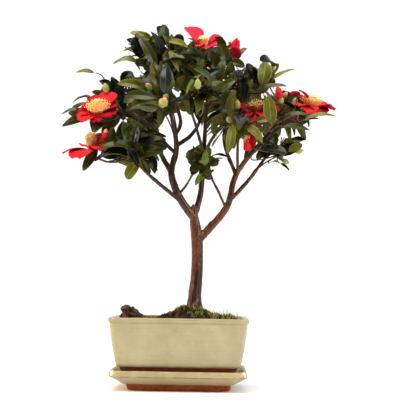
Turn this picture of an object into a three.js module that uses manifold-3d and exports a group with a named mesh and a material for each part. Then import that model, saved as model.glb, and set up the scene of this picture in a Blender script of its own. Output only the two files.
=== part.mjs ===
// A flowering camellia bonsai in a glazed pot that stands in its matching tray.
// Millimetres, +Z up, -Y to the front. The origin is the middle of the tray's flat underside.
import * as THREE from "three";
import { mergeVertices } from "three/addons/utils/BufferGeometryUtils.js";
import Module from "manifold-3d";

const wasm = await Module();
wasm.setup();

// Clearance between pieces that touch on the real plant, and the shortest edge a join may leave.
const CLEARANCE = 0.3;
const SHORTEST_EDGE = 0.02;

// Tray and pot: sizes over the rim, and walls as steps of [inset from the rim's outline, height].
const TRAY_SIZE = { width: 158, depth: 120, corner: 12 };
const TRAY_FLOOR = 14;
const TRAY_FOOT = [[22, 0], [19.5, 2.2], [19, 7]];
const TRAY_OUTSIDE = [[15, 7.4], [2, 15.6], [0.4, 17], [0, 20], [0.6, 23]];
const TRAY_INSIDE = [[3.6, 23.4], [5.4, 21.6], [10.5, TRAY_FLOOR]];
const POT_SIZE = { width: 160, depth: 124, corner: 9 };
const POT_FLOOR = 22;
const POT_RIM = 82.8;
const POT_FOOT = [[15.5, TRAY_FLOOR], [14.5, 22], [12.2, 27]];
const POT_OUTSIDE = [[9.6, 28], [7.6, 33.5], [4.4, 52], [1.4, 76.5], [0, 78], [0, POT_RIM - 0.8]];
const POT_INSIDE = [[1, POT_RIM], [6, POT_RIM], [16, POT_FLOOR]];
const CORNER_STEPS = 2;

// Soil: filled to below the rim and mounded up to a flat pad under the trunk.
const SOIL_EDGE = 79;
const SOIL_PAD = { x: 14, y: 0, radius: 25, height: 89 };
const SOIL_RISE = [[0.35, 0.3], [0.7, 0.72], [1, 1]];

// Moss collar on the pad, round the trunk's foot: its half section as [radius, height over the pad].
const MOSS_SECTION = [[13.6, 0], [23, 0], [22, 3.2], [19, 6.8], [15.6, 8.4], [13.6, 6.4], [13.6, 0]];
const MOSS_SIDES = 12;

// Weathered root piece that lies at the left of the pot: its side outline and its thickness.
const ROOT_PIECE_OUTLINE = [
  [-69, 74], [-70, 88], [-65, 95.5], [-58, 93.5], [-49, 88.5], [-40, 84.5], [-37, 74],
];
const ROOT_PIECE = { front: -27, thickness: 17, edge: 2.5 };

// Trunk: its middle line from the ground cut to the cut-off leader, and its radii on that line.
const TRUNK_FOOT = [16, 0, SOIL_PAD.height + CLEARANCE];
const TRUNK_LINE = [
  TRUNK_FOOT, [16.4, 0.3, 104], [19, 1.6, 140], [18.4, 2, 174], [15, 0, 200], [14, -2, 215],
];
const TRUNK_RADII = [
  [0, 11.5], [0.05, 9.2], [0.13, 7.7], [0.3, 6.9], [0.6, 6.8], [0.72, 7], [0.86, 5.6], [1, 3],
];
const TRUNK_SIDES = 10;
const ROOT_FLARE = { lobes: 5, depth: 0.14, height: 14 };

// Boughs in the order in which they leave the tree. Each starts on the limb named in "from", at the
// share "at" of that limb's length, and runs through its via points to its tip.
const BOUGHS = [
  { name: "bough_left", from: "trunk", at: 0.88, radii: [5.2, 1.9],
    via: [[-2, -6, 223], [-13, -12, 252], [-7, -20, 283]], tip: [-13, -46, 319] },
  { name: "bough_centre", from: "trunk", at: 0.9, radii: [3.7, 1.6],
    via: [[22, 8, 233], [25, 13, 285]], tip: [29, -4, 358] },
  { name: "bough_right", from: "trunk", at: 0.66, radii: [5, 1.6],
    via: [[53, -4, 213], [66, -8, 256]], tip: [110, -22, 310] },
  { name: "bough_left_outer", from: "bough_left", at: 0.45, radii: [3.2, 1.6],
    via: [[-27, 4, 279], [-30, 13, 297]], tip: [-56, 29, 338] },
  { name: "bough_left_low", from: "bough_left", at: 0.17, radii: [2.5, 1.5],
    via: [[-33, -24, 244]], tip: [-54, -40, 263] },
  { name: "bough_left_side", from: "bough_left_outer", at: 0.4, radii: [1.9, 1.3],
    via: [[-43, -12, 308]], tip: [-60, -28, 317] },
  { name: "bough_left_up", from: "bough_left", at: 0.78, radii: [2.2, 1.4],
    via: [[-3, -20, 316]], tip: [-17, -2, 358] },
  { name: "bough_left_back", from: "bough_left", at: 0.62, radii: [2.1, 1.3],
    via: [[-25, 14, 296]], tip: [-44, 47, 326] },
  { name: "bough_cross", from: "bough_left", at: 0.69, radii: [2.5, 1.4],
    via: [[9, 4, 301], [19, 28, 323]], tip: [19, 44, 348] },
  { name: "bough_centre_front", from: "bough_centre", at: 0.5, radii: [1.9, 1.2],
    via: [[16, -22, 307]], tip: [10, -52, 322] },
  { name: "bough_centre_back", from: "bough_centre", at: 0.46, radii: [2.1, 1.3],
    via: [[33, 34, 299]], tip: [50, 55, 326] },
  { name: "bough_right_up", from: "bough_right", at: 0.55, radii: [2.2, 1.4],
    via: [[49, -14, 295]], tip: [60, -13, 338] },
  { name: "bough_right_front", from: "bough_right", at: 0.58, radii: [1.8, 1.2],
    via: [[65, -34, 279]], tip: [66, -52, 293] },
  { name: "bough_right_back", from: "bough_right", at: 0.67, radii: [2.1, 1.3],
    via: [[78, 6, 286]], tip: [91, 33, 315] },
  { name: "bough_right_low", from: "bough_right", at: 0.36, radii: [2.6, 1.5],
    via: [[79, 6, 247]], tip: [101, 17, 278] },
  { name: "bough_twig_left", from: "bough_left", at: 0.25, radii: [1.5, 1],
    via: [[4, -14, 237]], tip: [13, -25, 251] },
  { name: "bough_twig_right", from: "bough_right", at: 0.31, radii: [1.4, 1],
    via: [[42, -12, 234]], tip: [34, -14, 248] },
];
const BOUGH_SIDES = 6;
const STEPS_A_SPAN = 3;

// Masses of foliage, one on each bough's tip. A mass keeps inside an ellipsoid round its heart.
const MASSES = [
  { name: "foliage_left_low", bough: "bough_left_low", heart: [-65, -42, 277], reach: [64, 46, 38],
    shoots: 9, seed: 484 },
  { name: "foliage_left_upper", bough: "bough_left_outer", heart: [-73, 25, 360], reach: [58, 50, 45],
    shoots: 6, seed: 393 },
  { name: "foliage_left", bough: "bough_left_side", heart: [-93, -35, 322], reach: [50, 42, 36],
    shoots: 6, seed: 450 },
  { name: "foliage_front_left", bough: "bough_left", heart: [-25, -72, 335], reach: [48, 45, 42],
    shoots: 6, seed: 2 },
  { name: "foliage_top_left", bough: "bough_left_up", heart: [-30, 0, 391], reach: [50, 48, 52],
    shoots: 6, seed: 180 },
  { name: "foliage_back_left", bough: "bough_left_back", heart: [-46, 64, 348], reach: [58, 48, 52],
    shoots: 6, seed: 132 },
  { name: "foliage_top_back", bough: "bough_cross", heart: [14, 60, 388], reach: [52, 48, 52],
    shoots: 6, seed: 200 },
  { name: "foliage_top", bough: "bough_centre", heart: [26, -5, 390], reach: [48, 45, 52],
    shoots: 6, seed: 334 },
  { name: "foliage_front", bough: "bough_centre_front", heart: [16, -72, 339], reach: [42, 42, 42],
    shoots: 6, seed: 48 },
  { name: "foliage_back_right", bough: "bough_centre_back", heart: [60, 70, 355], reach: [55, 48, 50],
    shoots: 6, seed: 66 },
  { name: "foliage_right", bough: "bough_right", heart: [140, -25, 326], reach: [58, 48, 36],
    shoots: 6, seed: 281 },
  { name: "foliage_right_upper", bough: "bough_right_up", heart: [82, -12, 367], reach: [52, 45, 45],
    shoots: 6, seed: 538 },
  { name: "foliage_front_right", bough: "bough_right_front", heart: [66, -64, 308], reach: [46, 42, 44],
    shoots: 6, seed: 304 },
  { name: "foliage_right_rear", bough: "bough_right_back", heart: [113, 48, 343], reach: [55, 50, 48],
    shoots: 6, seed: 340 },
  { name: "foliage_right_low", bough: "bough_right_low", heart: [115, 20, 286], reach: [45, 42, 37],
    shoots: 6, seed: 31 },
  { name: "foliage_inner_left", bough: "bough_twig_left", heart: [21, -28, 262], reach: [24, 26, 28],
    shoots: 3, seed: 3, leafSize: 0.55 },
  { name: "foliage_inner_right", bough: "bough_twig_right", heart: [37, -16, 257], reach: [20, 20, 20],
    shoots: 1, seed: 461, leafSize: 0.5 },
];

// Open flowers: the mass that carries each one, its middle, and the way that it faces.
const FLOWERS = [
  { mass: "foliage_left", at: [-95, -54, 318], facing: [-0.1, -0.62, 0.78], size: 1 },
  { mass: "foliage_left_low", at: [-104, -52, 277], facing: [0, -0.12, 1], size: 1 },
  { mass: "foliage_top", at: [23, -10, 408], facing: [0, -0.12, 1], size: 1 },
  { mass: "foliage_top", at: [51, 6, 404], facing: [0.88, 0.3, 0.35], size: 0.8 },
  { mass: "foliage_right", at: [151, -26, 332], facing: [0.08, -0.28, 0.95], size: 1 },
  { mass: "foliage_front_right", at: [86, -46, 324], facing: [-0.1, -0.4, 0.9], size: 1 },
  { mass: "foliage_front_right", at: [72, -62, 289], facing: [0.75, 0.55, -0.2], size: 0.55 },
  { mass: "foliage_left_upper", at: [-90, 56, 358], facing: [-0.4, 0.8, 0.4], size: 0.9 },
  { mass: "foliage_back_left", at: [-50, 98, 352], facing: [-0.2, 0.9, 0.36], size: 1 },
  { mass: "foliage_top_back", at: [12, 88, 402], facing: [0, 0.75, 0.65], size: 1 },
  { mass: "foliage_back_right", at: [76, 102, 358], facing: [0.2, 0.9, 0.4], size: 1 },
  { mass: "foliage_right_rear", at: [130, 80, 347], facing: [0.4, 0.8, 0.45], size: 1 },
];

// Shoots of a mass: they leave its stem from its end downwards, and aim from straight out to backwards.
const STEM_STEPS = 3;
const STEM_SIDES = 4;
const SHOOT = { steps: 2, sides: 3, radii: [0.7, 1.5, 1.2], point: 4, sag: 0.12 };
const SHOOT_ROOTS = { first: 0.95, last: 0.35 };
const SHOOT_AIM = { first: 0.95, last: -0.45 };
const SHOOT_REACH = { least: 0.3, spread: 0.25 };
const BUD = { length: 11, radius: 3.4, every: 3 };
const TREE_FORK = new THREE.Vector3(16, 0, 235);
const GOLDEN_TURN = Math.PI * (3 - Math.sqrt(5));

// Leaves of a shoot: steep at its tip and spread wide further down, in three rows round it.
const LEAF = { shortest: 38, longest: 50, slimness: 0.4, waist: 0.45, keel: 0.7, fold: 0.6, sink: 0.5 };
const LEAF_NECK = 0.12;
const LEAVES_A_SHOOT = 5;
const LEAF_ROWS = 3;
const LEAF_ROOTS = { first: 0.95, last: 0.3 };
const LEAF_TILT = { first: 0.45, last: 1.3, spread: 0.6 };
const LEAF_TURN_SPREAD = 0.8;
const LEAF_DROOP = 0.1;
const LEAF_FACING = { back: 0.2, up: 0.5 };
const LEAF_TRIES = 8;
const LEAF_SHRINK = 0.05;

// Open flower: a stalk that swells into the boss of stamens, and a ring of petals round it.
const FLOWER = { petals: 5, spread: 1.1, guard: 21, guardOthers: 30 };
const FLOWER_STALK = { length: 7, root: 0.5, knee: 0.2 };
const BOSS = { radius: 11, height: 13, belly: 1 / 3, topShare: 0.7 };
const PETAL_SIZE = { length: 28, width: 21, back: 3, out: 1 };
const PETAL = { waist: 0.6, keel: 2.2, fold: 1.5, sink: 0.5 };

// Room that leaves and shoots keep: to other masses, as a ratio of depths, and to limbs and shoots.
const CELL_MARGIN = 1.04;
const LIMB_MARGIN = 1.2;
const SHOOT_MARGIN = 0.4;

// Colour, roughness and metalness of each kind of piece.
const FINISHES = {
  glaze: [0xc8b78f, 0.3, 0],
  soil: [0x2e2720, 0.95, 0],
  moss: [0x5f6a26, 0.95, 0],
  wood: [0x6e5644, 0.9, 0],
  bark: [0x614739, 0.85, 0],
  leaf: [0x35501f, 0.4, 0],
};

const { clamp, lerp } = THREE.MathUtils;
const vector = (values) => new THREE.Vector3(...values);

// A stream of numbers from 0 to 1 that is the same for the same seed.
function seededStream(seed) {
  let state = seed >>> 0;
  return () => {
    state = (state + 0x6d2b79f5) >>> 0;
    let mixed = Math.imul(state ^ (state >>> 15), state | 1);
    mixed ^= mixed + Math.imul(mixed ^ (mixed >>> 7), mixed | 61);
    return ((mixed ^ (mixed >>> 14)) >>> 0) / 4294967296;
  };
}

// Points of a smooth line through the given points, with each point's share of the length.
function smoothLine(points) {
  const curve = new THREE.CatmullRomCurve3(points, false, "catmullrom", 0.5);
  const line = curve.getPoints((points.length - 1) * STEPS_A_SPAN);
  const lengths = [0];
  for (let i = 1; i < line.length; i += 1) {
    lengths.push(lengths[i - 1] + line[i].distanceTo(line[i - 1]));
  }
  return { line, shares: lengths.map((length) => length / lengths.at(-1)) };
}

// The value at a share of the way through steps of [share, value].
function stepped(steps, share) {
  const next = steps.findIndex((step) => step[0] >= share);
  if (next <= 0) return steps.at(next)[1];
  const [fromShare, fromValue] = steps[next - 1];
  const [toShare, toValue] = steps[next];
  return fromValue + ((toValue - fromValue) * (share - fromShare)) / (toShare - fromShare);
}

// The point at a share of a limb's length.
function pointOnLimb(limb, share) {
  const next = Math.max(1, limb.shares.findIndex((value) => value >= share));
  const span = limb.shares[next] - limb.shares[next - 1];
  return limb.line[next - 1].clone().lerp(limb.line[next], (share - limb.shares[next - 1]) / span);
}

// Middle lines and radii of the trunk and of every bough.
function limbLines() {
  const trunk = { name: "trunk", ...smoothLine(TRUNK_LINE.map(vector)) };
  trunk.radii = trunk.shares.map((share) => stepped(TRUNK_RADII, share));
  const limbs = { trunk };
  for (const bough of BOUGHS) {
    const start = pointOnLimb(limbs[bough.from], bough.at);
    const limb = { name: bough.name, ...smoothLine([start, ...bough.via.map(vector), vector(bough.tip)]) };
    limb.radii = limb.shares.map((share) => lerp(...bough.radii, share));
    limbs[bough.name] = limb;
  }
  return limbs;
}

// Shortest distance between two straight stretches, and the share of the second where it lies.
function stretchDistance(a0, a1, b0, b1) {
  const a = a1.clone().sub(a0);
  const b = b1.clone().sub(b0);
  const between = a0.clone().sub(b0);
  const aa = a.dot(a);
  const bb = b.dot(b);
  const ab = a.dot(b);
  const aw = a.dot(between);
  const bw = b.dot(between);
  const spread = aa * bb - ab * ab;
  let s = spread > 1e-9 ? clamp((ab * bw - bb * aw) / spread, 0, 1) : 0;
  const t = clamp((ab * s + bw) / bb, 0, 1);
  s = clamp((ab * t - aw) / aa, 0, 1);
  return { share: t, gap: between.addScaledVector(a, s).addScaledVector(b, -t).length() };
}

// Whether a stretch stays clear of every limb by a margin.
function clearOfLimbs(limbs, from, to, margin) {
  for (const limb of limbs) {
    for (let i = 1; i < limb.line.length; i += 1) {
      const near = stretchDistance(from, to, limb.line[i - 1], limb.line[i]);
      const radius = lerp(limb.radii[i - 1], limb.radii[i], near.share);
      if (near.gap < radius + margin) return false;
    }
  }
  return true;
}

// How far out a point lies in a mass's ellipsoid: 0 at its heart, 1 on its surface.
function depthIn(mass, point) {
  const x = (point.x - mass.heart[0]) / mass.reach[0];
  const y = (point.y - mass.heart[1]) / mass.reach[1];
  const z = (point.z - mass.heart[2]) / mass.reach[2];
  return Math.hypot(x, y, z);
}

// Whether a point lies in a mass's own space, and not nearer to another mass's heart.
function inOwnSpace(mass, point) {
  const own = depthIn(mass, point);
  if (own > 1) return false;
  return MASSES.every((other) => other === mass || depthIn(other, point) > own * CELL_MARGIN);
}

// A unit direction turned by an angle round an axis from a first side direction.
function turned(side, across, angle) {
  return side.clone().multiplyScalar(Math.cos(angle)).addScaledVector(across, Math.sin(angle));
}

// Two directions that stand square to an axis.
function sideDirections(axis) {
  const helper = Math.abs(axis.z) < 0.9 ? new THREE.Vector3(0, 0, 1) : new THREE.Vector3(0, 1, 0);
  const side = helper.cross(axis).normalize();
  return [side, axis.clone().cross(side)];
}

// Directions along a line, and side directions that don't twist on the way.
function lineFrames(line) {
  const frames = [];
  for (let i = 0; i < line.length; i += 1) {
    const along = line[Math.min(i + 1, line.length - 1)].clone().sub(line[Math.max(i - 1, 0)]).normalize();
    const before = i === 0 ? sideDirections(along)[0] : frames[i - 1].side;
    const side = before.clone().addScaledVector(along, -before.dot(along)).normalize();
    frames.push({ along, side, across: side.clone().cross(along) });
  }
  return frames;
}

// A point of a leaf, by its share of the length and of the width from the midrib.
function leafPoint(leaf, along, across) {
  return leaf.root.clone()
    .addScaledVector(leaf.along, along * leaf.length)
    .addScaledVector(leaf.side, across * leaf.width);
}

// The corners of a leaf's blade, from its neck round one edge to the tip and back.
function bladeCorners(leaf) {
  const left = leafPoint(leaf, 0.5, 0.5);
  const right = leafPoint(leaf, 0.5, -0.5);
  return [leafPoint(leaf, LEAF_NECK, 0), left, leafPoint(leaf, 1, 0), right];
}

// Whether a stretch passes through a triangle.
function piercesTriangle(from, to, [a, b, c]) {
  const first = b.clone().sub(a);
  const second = c.clone().sub(a);
  const run = to.clone().sub(from);
  const square = run.clone().cross(second);
  const spread = first.dot(square);
  if (Math.abs(spread) < 1e-9) return false;
  const offset = from.clone().sub(a);
  const u = offset.dot(square) / spread;
  if (u < 0 || u > 1) return false;
  const turnedOffset = offset.cross(first);
  const v = run.dot(turnedOffset) / spread;
  if (v < 0 || u + v > 1) return false;
  const share = second.dot(turnedOffset) / spread;
  return share >= 0 && share <= 1;
}

// Whether any edge of one blade passes through another blade.
function piercesBlade(edges, [neck, left, tip, right]) {
  const halves = [[neck, left, tip], [neck, tip, right]];
  return edges.some((from, i) => halves.some((half) => piercesTriangle(from, edges.at(i - 1), half)));
}

// Whether a leaf keeps to its mass's space, clear of the limbs, flowers, shoots and other leaves.
function leafFits(grown, leaf, limbs) {
  const { mass } = grown;
  const blade = bladeCorners(leaf);
  const [neck, left, tip, right] = blade;
  const probes = [tip, left, right, leafPoint(leaf, 0.75, 0.25), leafPoint(leaf, 0.75, -0.25)];
  if (!probes.every((point) => inOwnSpace(mass, point))) return false;
  for (const flower of FLOWERS) {
    const guard = (flower.mass === mass.name ? FLOWER.guard : FLOWER.guardOthers) * flower.size;
    const base = vector(flower.at);
    const middle = base.clone().addScaledVector(vector(flower.facing).normalize(), BOSS.height / 2);
    if (stretchDistance(neck, tip, middle, base).gap < guard) return false;
  }
  for (const other of grown.leaves) {
    if (other.root.distanceTo(leaf.root) > 2 * LEAF.longest) continue;
    if (piercesBlade(blade, other.blade) || piercesBlade(other.blade, blade)) return false;
  }
  return [[neck, tip], [left, right]].every(([from, to]) => (
    clearOfLimbs(limbs, from, to, LIMB_MARGIN) && clearOfLimbs(grown.shoots, from, to, SHOOT_MARGIN)));
}

// The stem, shoots, leaves and buds of one mass.
function growMass(mass, bough, limbs) {
  const random = seededStream(mass.seed);
  const heart = vector(mass.heart);
  const onward = bough.line.at(-1).clone().sub(bough.line.at(-2)).normalize();
  const start = bough.line.at(-1).clone().addScaledVector(onward, CLEARANCE);
  const bend = start.clone().addScaledVector(onward, start.distanceTo(heart) / 2);
  const stemCurve = new THREE.QuadraticBezierCurve3(start, bend, heart);
  const grown = { mass, stem: stemCurve.getPoints(STEM_STEPS), shoots: [], leaves: [] };
  grown.stemRadii = [bough.radii.at(-1), SHOOT.radii[1]];
  const outward = heart.clone().sub(TREE_FORK).normalize();
  const [side, across] = sideDirections(outward);
  const firstTurn = random() * Math.PI * 2;
  for (let i = 0; i < mass.shoots; i += 1) {
    const order = (i + 0.5) / mass.shoots;
    const rise = lerp(SHOOT_AIM.first, SHOOT_AIM.last, order);
    const aim = turned(side, across, firstTurn + i * GOLDEN_TURN).multiplyScalar(Math.sqrt(1 - rise * rise));
    aim.addScaledVector(outward, rise).multiply(vector(mass.reach));
    const tip = heart.clone().addScaledVector(aim, SHOOT_REACH.least + SHOOT_REACH.spread * random());
    const root = stemCurve.getPoint(lerp(SHOOT_ROOTS.first, SHOOT_ROOTS.last, order));
    const sagged = root.clone().lerp(tip, 0.5);
    sagged.z -= root.distanceTo(tip) * SHOOT.sag;
    const curve = new THREE.QuadraticBezierCurve3(root, sagged, tip);
    const line = curve.getPoints(SHOOT.steps);
    const inside = line.slice(1).every((point) => inOwnSpace(mass, point));
    if (!inside || !clearOfLimbs(limbs, line[1], tip, SHOOT.radii[1] + LIMB_MARGIN)) continue;
    const bud = i % BUD.every === 0 && curve.getTangent(1);
    grown.shoots.push({ curve, line, radii: SHOOT.radii, bud, frame: lineFrames(line).at(-1) });
  }
  for (let rank = 0; rank < LEAVES_A_SHOOT; rank += 1) {
    grown.shoots.forEach((shoot) => growLeaf(grown, shoot, rank, random, limbs));
  }
  return grown;
}

// The leaf of one rank on a shoot: steep at the shoot's tip, spread wide further down.
function growLeaf(grown, shoot, rank, random, limbs) {
  const low = rank / (LEAVES_A_SHOOT - 1);
  const root = shoot.curve.getPoint(lerp(LEAF_ROOTS.first, LEAF_ROOTS.last, low));
  const { along: ahead, side, across } = shoot.frame;
  const fullLength = lerp(LEAF.shortest, LEAF.longest, random()) * (grown.mass.leafSize ?? 1);
  for (let attempt = 0; attempt < LEAF_TRIES; attempt += 1) {
    const tilt = lerp(LEAF_TILT.first, LEAF_TILT.last, low) + (random() - 0.5) * LEAF_TILT.spread;
    const row = (rank + attempt) % LEAF_ROWS;
    const out = turned(across, side, (row / LEAF_ROWS) * Math.PI * 2 + (random() - 0.5) * LEAF_TURN_SPREAD);
    const along = ahead.clone().multiplyScalar(Math.cos(tilt)).addScaledVector(out, Math.sin(tilt));
    along.z -= LEAF_DROOP;
    along.normalize();
    const up = ahead.clone().addScaledVector(out, -LEAF_FACING.back);
    up.z += LEAF_FACING.up;
    up.addScaledVector(along, -up.dot(along)).normalize();
    const length = fullLength * (1 - LEAF_SHRINK * attempt);
    const width = length * LEAF.slimness;
    const leaf = { root, along, up, side: along.clone().cross(up), length, width };
    if (!leafFits(grown, leaf, limbs)) continue;
    leaf.blade = bladeCorners(leaf);
    grown.leaves.push(leaf);
    return;
  }
}

// A triangle mesh as a solid, its shared corners merged and its collapsed triangles left out.
function toSolid(geometry) {
  geometry.deleteAttribute("normal");
  geometry.deleteAttribute("uv");
  const merged = mergeVertices(geometry, 1e-3);
  const corners = merged.index.array;
  const triVerts = [];
  for (let i = 0; i < corners.length; i += 3) {
    const triangle = corners.slice(i, i + 3);
    if (new Set(triangle).size === 3) triVerts.push(...triangle);
  }
  const vertProperties = new Float32Array(merged.attributes.position.array);
  const mesh = { numProp: 3, vertProperties, triVerts: new Uint32Array(triVerts) };
  return new wasm.Manifold(new wasm.Mesh(mesh));
}

// A solid's largest body as a named mesh with a finish: loose scraps and very short edges go.
function toMesh(name, solid, finish) {
  const body = solid.decompose().reduce((best, next) => (next.volume() > best.volume() ? next : best));
  const { vertProperties, triVerts } = body.asOriginal().simplify(SHORTEST_EDGE).getMesh();
  const geometry = new THREE.BufferGeometry();
  geometry.setAttribute("position", new THREE.BufferAttribute(vertProperties, 3));
  geometry.setIndex(new THREE.BufferAttribute(triVerts, 1));
  geometry.computeVertexNormals();
  const [color, roughness, metalness] = FINISHES[finish];
  const mesh = new THREE.Mesh(geometry, new THREE.MeshStandardMaterial({ color, roughness, metalness }));
  mesh.name = name;
  return mesh;
}

// A rounded rectangle about the middle.
function roundedRectangle({ width, depth, corner }) {
  const x = width / 2 - corner;
  const y = depth / 2 - corner;
  const quarter = Math.PI / 2;
  return new THREE.Shape()
    .absarc(x, -y, corner, -quarter, 0)
    .absarc(x, y, corner, 0, quarter)
    .absarc(-x, y, corner, quarter, 2 * quarter)
    .absarc(-x, -y, corner, 2 * quarter, 3 * quarter);
}

// A closed body of rounded rectangles, ring on ring, each moved by a function of its ring.
function ringBody(size, rings, place) {
  const settings = { depth: rings - 1, steps: rings - 1, bevelEnabled: false, curveSegments: CORNER_STEPS };
  const geometry = new THREE.ExtrudeGeometry(roundedRectangle(size), settings);
  const positions = geometry.attributes.position;
  for (let i = 0; i < positions.count; i += 1) {
    const point = place(positions.getX(i), positions.getY(i), Math.round(positions.getZ(i)));
    positions.setXYZ(i, ...point);
  }
  return toSolid(geometry);
}

// A vessel whose wall follows steps of [inset, height] up the outside and down the inside.
function vessel(size, wall) {
  return ringBody(size, wall.length, (x, y, ring) => {
    const [inset, height] = wall[ring];
    return [x - Math.sign(x) * inset, y - Math.sign(y) * inset, height];
  });
}

// Soil that fills the pot, with rings that climb from the wall to the pad under the trunk.
function soilBody() {
  const [[rimInset, rimHeight], [floorInset, floorHeight]] = POT_INSIDE.slice(-2);
  const wallShare = (SOIL_EDGE - floorHeight) / (rimHeight - floorHeight);
  const edgeInset = lerp(floorInset, rimInset, wallShare) + CLEARANCE;
  return ringBody(POT_SIZE, SOIL_RISE.length + 2, (x, y, ring) => {
    const inset = ring === 0 ? floorInset + CLEARANCE : edgeInset;
    const edgeX = x - Math.sign(x) * inset;
    const edgeY = y - Math.sign(y) * inset;
    if (ring < 2) return [edgeX, edgeY, ring === 0 ? POT_FLOOR : SOIL_EDGE];
    const [share, rise] = SOIL_RISE[ring - 2];
    const angle = Math.atan2(edgeY / POT_SIZE.depth, edgeX / POT_SIZE.width);
    const padX = SOIL_PAD.x + Math.cos(angle) * SOIL_PAD.radius;
    const padY = SOIL_PAD.y + Math.sin(angle) * SOIL_PAD.radius;
    const height = lerp(SOIL_EDGE, SOIL_PAD.height, rise);
    return [lerp(edgeX, padX, share), lerp(edgeY, padY, share), height];
  });
}

// Moss collar: a ring that lies on the soil's pad, round the trunk and clear of it.
function mossBody() {
  const section = MOSS_SECTION.map(([radius, height]) => new THREE.Vector2(radius, height));
  const lathe = new THREE.LatheGeometry(section, MOSS_SIDES);
  lathe.rotateX(Math.PI / 2);
  lathe.translate(...TRUNK_FOOT);
  return toSolid(lathe);
}

// The weathered root piece, cut to lie on the soil.
function rootPieceBody(soil) {
  const outline = new THREE.Shape(ROOT_PIECE_OUTLINE.map((point) => new THREE.Vector2(...point)));
  const { front, thickness, edge } = ROOT_PIECE;
  const bevel = { bevelSize: edge, bevelThickness: edge, bevelOffset: -edge, bevelSegments: 1 };
  const piece = new THREE.ExtrudeGeometry(outline, { depth: thickness - 2 * edge, ...bevel });
  piece.rotateX(Math.PI / 2);
  piece.translate(0, front + thickness, 0);
  return toSolid(piece).subtract(soil.translate([0, 0, CLEARANCE]));
}

// A closed cylinder whose rings and sides are moved by a function of level, sine and cosine.
function wrappedCylinder(sides, rings, place) {
  const cylinder = new THREE.CylinderGeometry(1, 1, 1, sides, rings, false, Math.PI);
  const positions = cylinder.attributes.position;
  for (let i = 0; i < positions.count; i += 1) {
    const ring = Math.round((positions.getY(i) + 0.5) * rings);
    const point = place(ring, positions.getX(i), positions.getZ(i));
    positions.setXYZ(i, point.x, point.y, point.z);
  }
  return toSolid(cylinder);
}

// A round limb along a line, with a radius for each point, grown on all sides by a margin.
function limbBody(line, radii, sides, { margin = 0, point = 0, lobe = () => 1 } = {}) {
  const frames = lineFrames(line);
  const last = line.length - 1;
  return wrappedCylinder(sides, last, (ring, sine, cosine) => {
    const { along, side, across } = frames[ring];
    const radius = radii[ring] * lobe(line[ring].z, Math.atan2(sine, cosine)) + margin;
    const capped = Math.hypot(sine, cosine) < 0.5 ? point : 0;
    const end = ring === last ? margin + capped : (ring === 0) * -margin;
    return line[ring].clone()
      .addScaledVector(side, sine * radius)
      .addScaledVector(across, cosine * radius)
      .addScaledVector(along, end);
  });
}

// The trunk's roots spread into lobes at the ground and fade out above it.
function rootLobes(height, angle) {
  const fade = clamp(1 - (height - SOIL_PAD.height) / ROOT_FLARE.height, 0, 1);
  return 1 + ROOT_FLARE.depth * fade * Math.cos(ROOT_FLARE.lobes * angle);
}

// The solid of a trunk or bough, grown by a margin.
function limbSolid(limb, margin = 0) {
  return limb.name === "trunk"
    ? limbBody(limb.line, limb.radii, TRUNK_SIDES, { margin, lobe: rootLobes })
    : limbBody(limb.line, limb.radii, BOUGH_SIDES, { margin });
}

// A blade of eight faces: pointed at its root and tip, widest at its waist, folded up at its edges.
function bladeBody({ root, along, up, side, length, width }, { waist, keel, fold, sink }) {
  const places = [-sink, length * waist, length];
  return wrappedCylinder(4, 2, (ring, sine, cosine) => {
    const point = root.clone().addScaledVector(along, places[ring]);
    if (ring !== 1) return point;
    const lift = Math.abs(sine) > 0.5 ? fold : Math.min(cosine, 0) * keel;
    return point.addScaledVector(side, sine * width / 2).addScaledVector(up, lift);
  });
}

// A shoot of three sides that ends in a point, or in a swollen bud.
function shootBody({ line, bud }) {
  if (!bud) return limbBody(line, SHOOT.radii, SHOOT.sides, { point: SHOOT.point });
  const belly = line.at(-1).clone().addScaledVector(bud, BUD.length / 2);
  const radii = [...SHOOT.radii, BUD.radius];
  return limbBody([...line, belly], radii, SHOOT.sides, { point: BUD.length / 2 });
}

// The middle line of an open flower's stalk and of its boss of stamens.
function bossLine(flower, facing, stem) {
  const [back, belly, top] = [-FLOWER_STALK.length, BOSS.height * BOSS.belly, BOSS.height]
    .map((rise) => vector(flower.at).addScaledVector(facing, rise * flower.size));
  const root = stem[1].clone().lerp(stem[2], FLOWER_STALK.root);
  const knee = root.clone().lerp(back, 0.5);
  knee.addScaledVector(facing, -root.distanceTo(back) * FLOWER_STALK.knee);
  return [root, knee, back, belly, top];
}

// The petals of an open flower, in a ring round its boss.
function petalBodies(flower, facing, line) {
  const { side, across } = lineFrames(line).at(-1);
  const length = PETAL_SIZE.length * flower.size;
  const width = PETAL_SIZE.width * flower.size;
  const petals = [];
  for (let i = 0; i < FLOWER.petals; i += 1) {
    const out = turned(across, side, Math.PI + ((i + 0.5) / FLOWER.petals) * Math.PI * 2);
    const along = out.clone().multiplyScalar(Math.sin(FLOWER.spread));
    along.addScaledVector(facing, Math.cos(FLOWER.spread));
    const up = facing.clone().addScaledVector(along, -facing.dot(along)).normalize();
    const root = vector(flower.at).addScaledVector(facing, -PETAL_SIZE.back);
    root.addScaledVector(out, PETAL_SIZE.out);
    petals.push(bladeBody({ root, along, up, side: along.clone().cross(up), length, width }, PETAL));
  }
  return petals;
}

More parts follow.
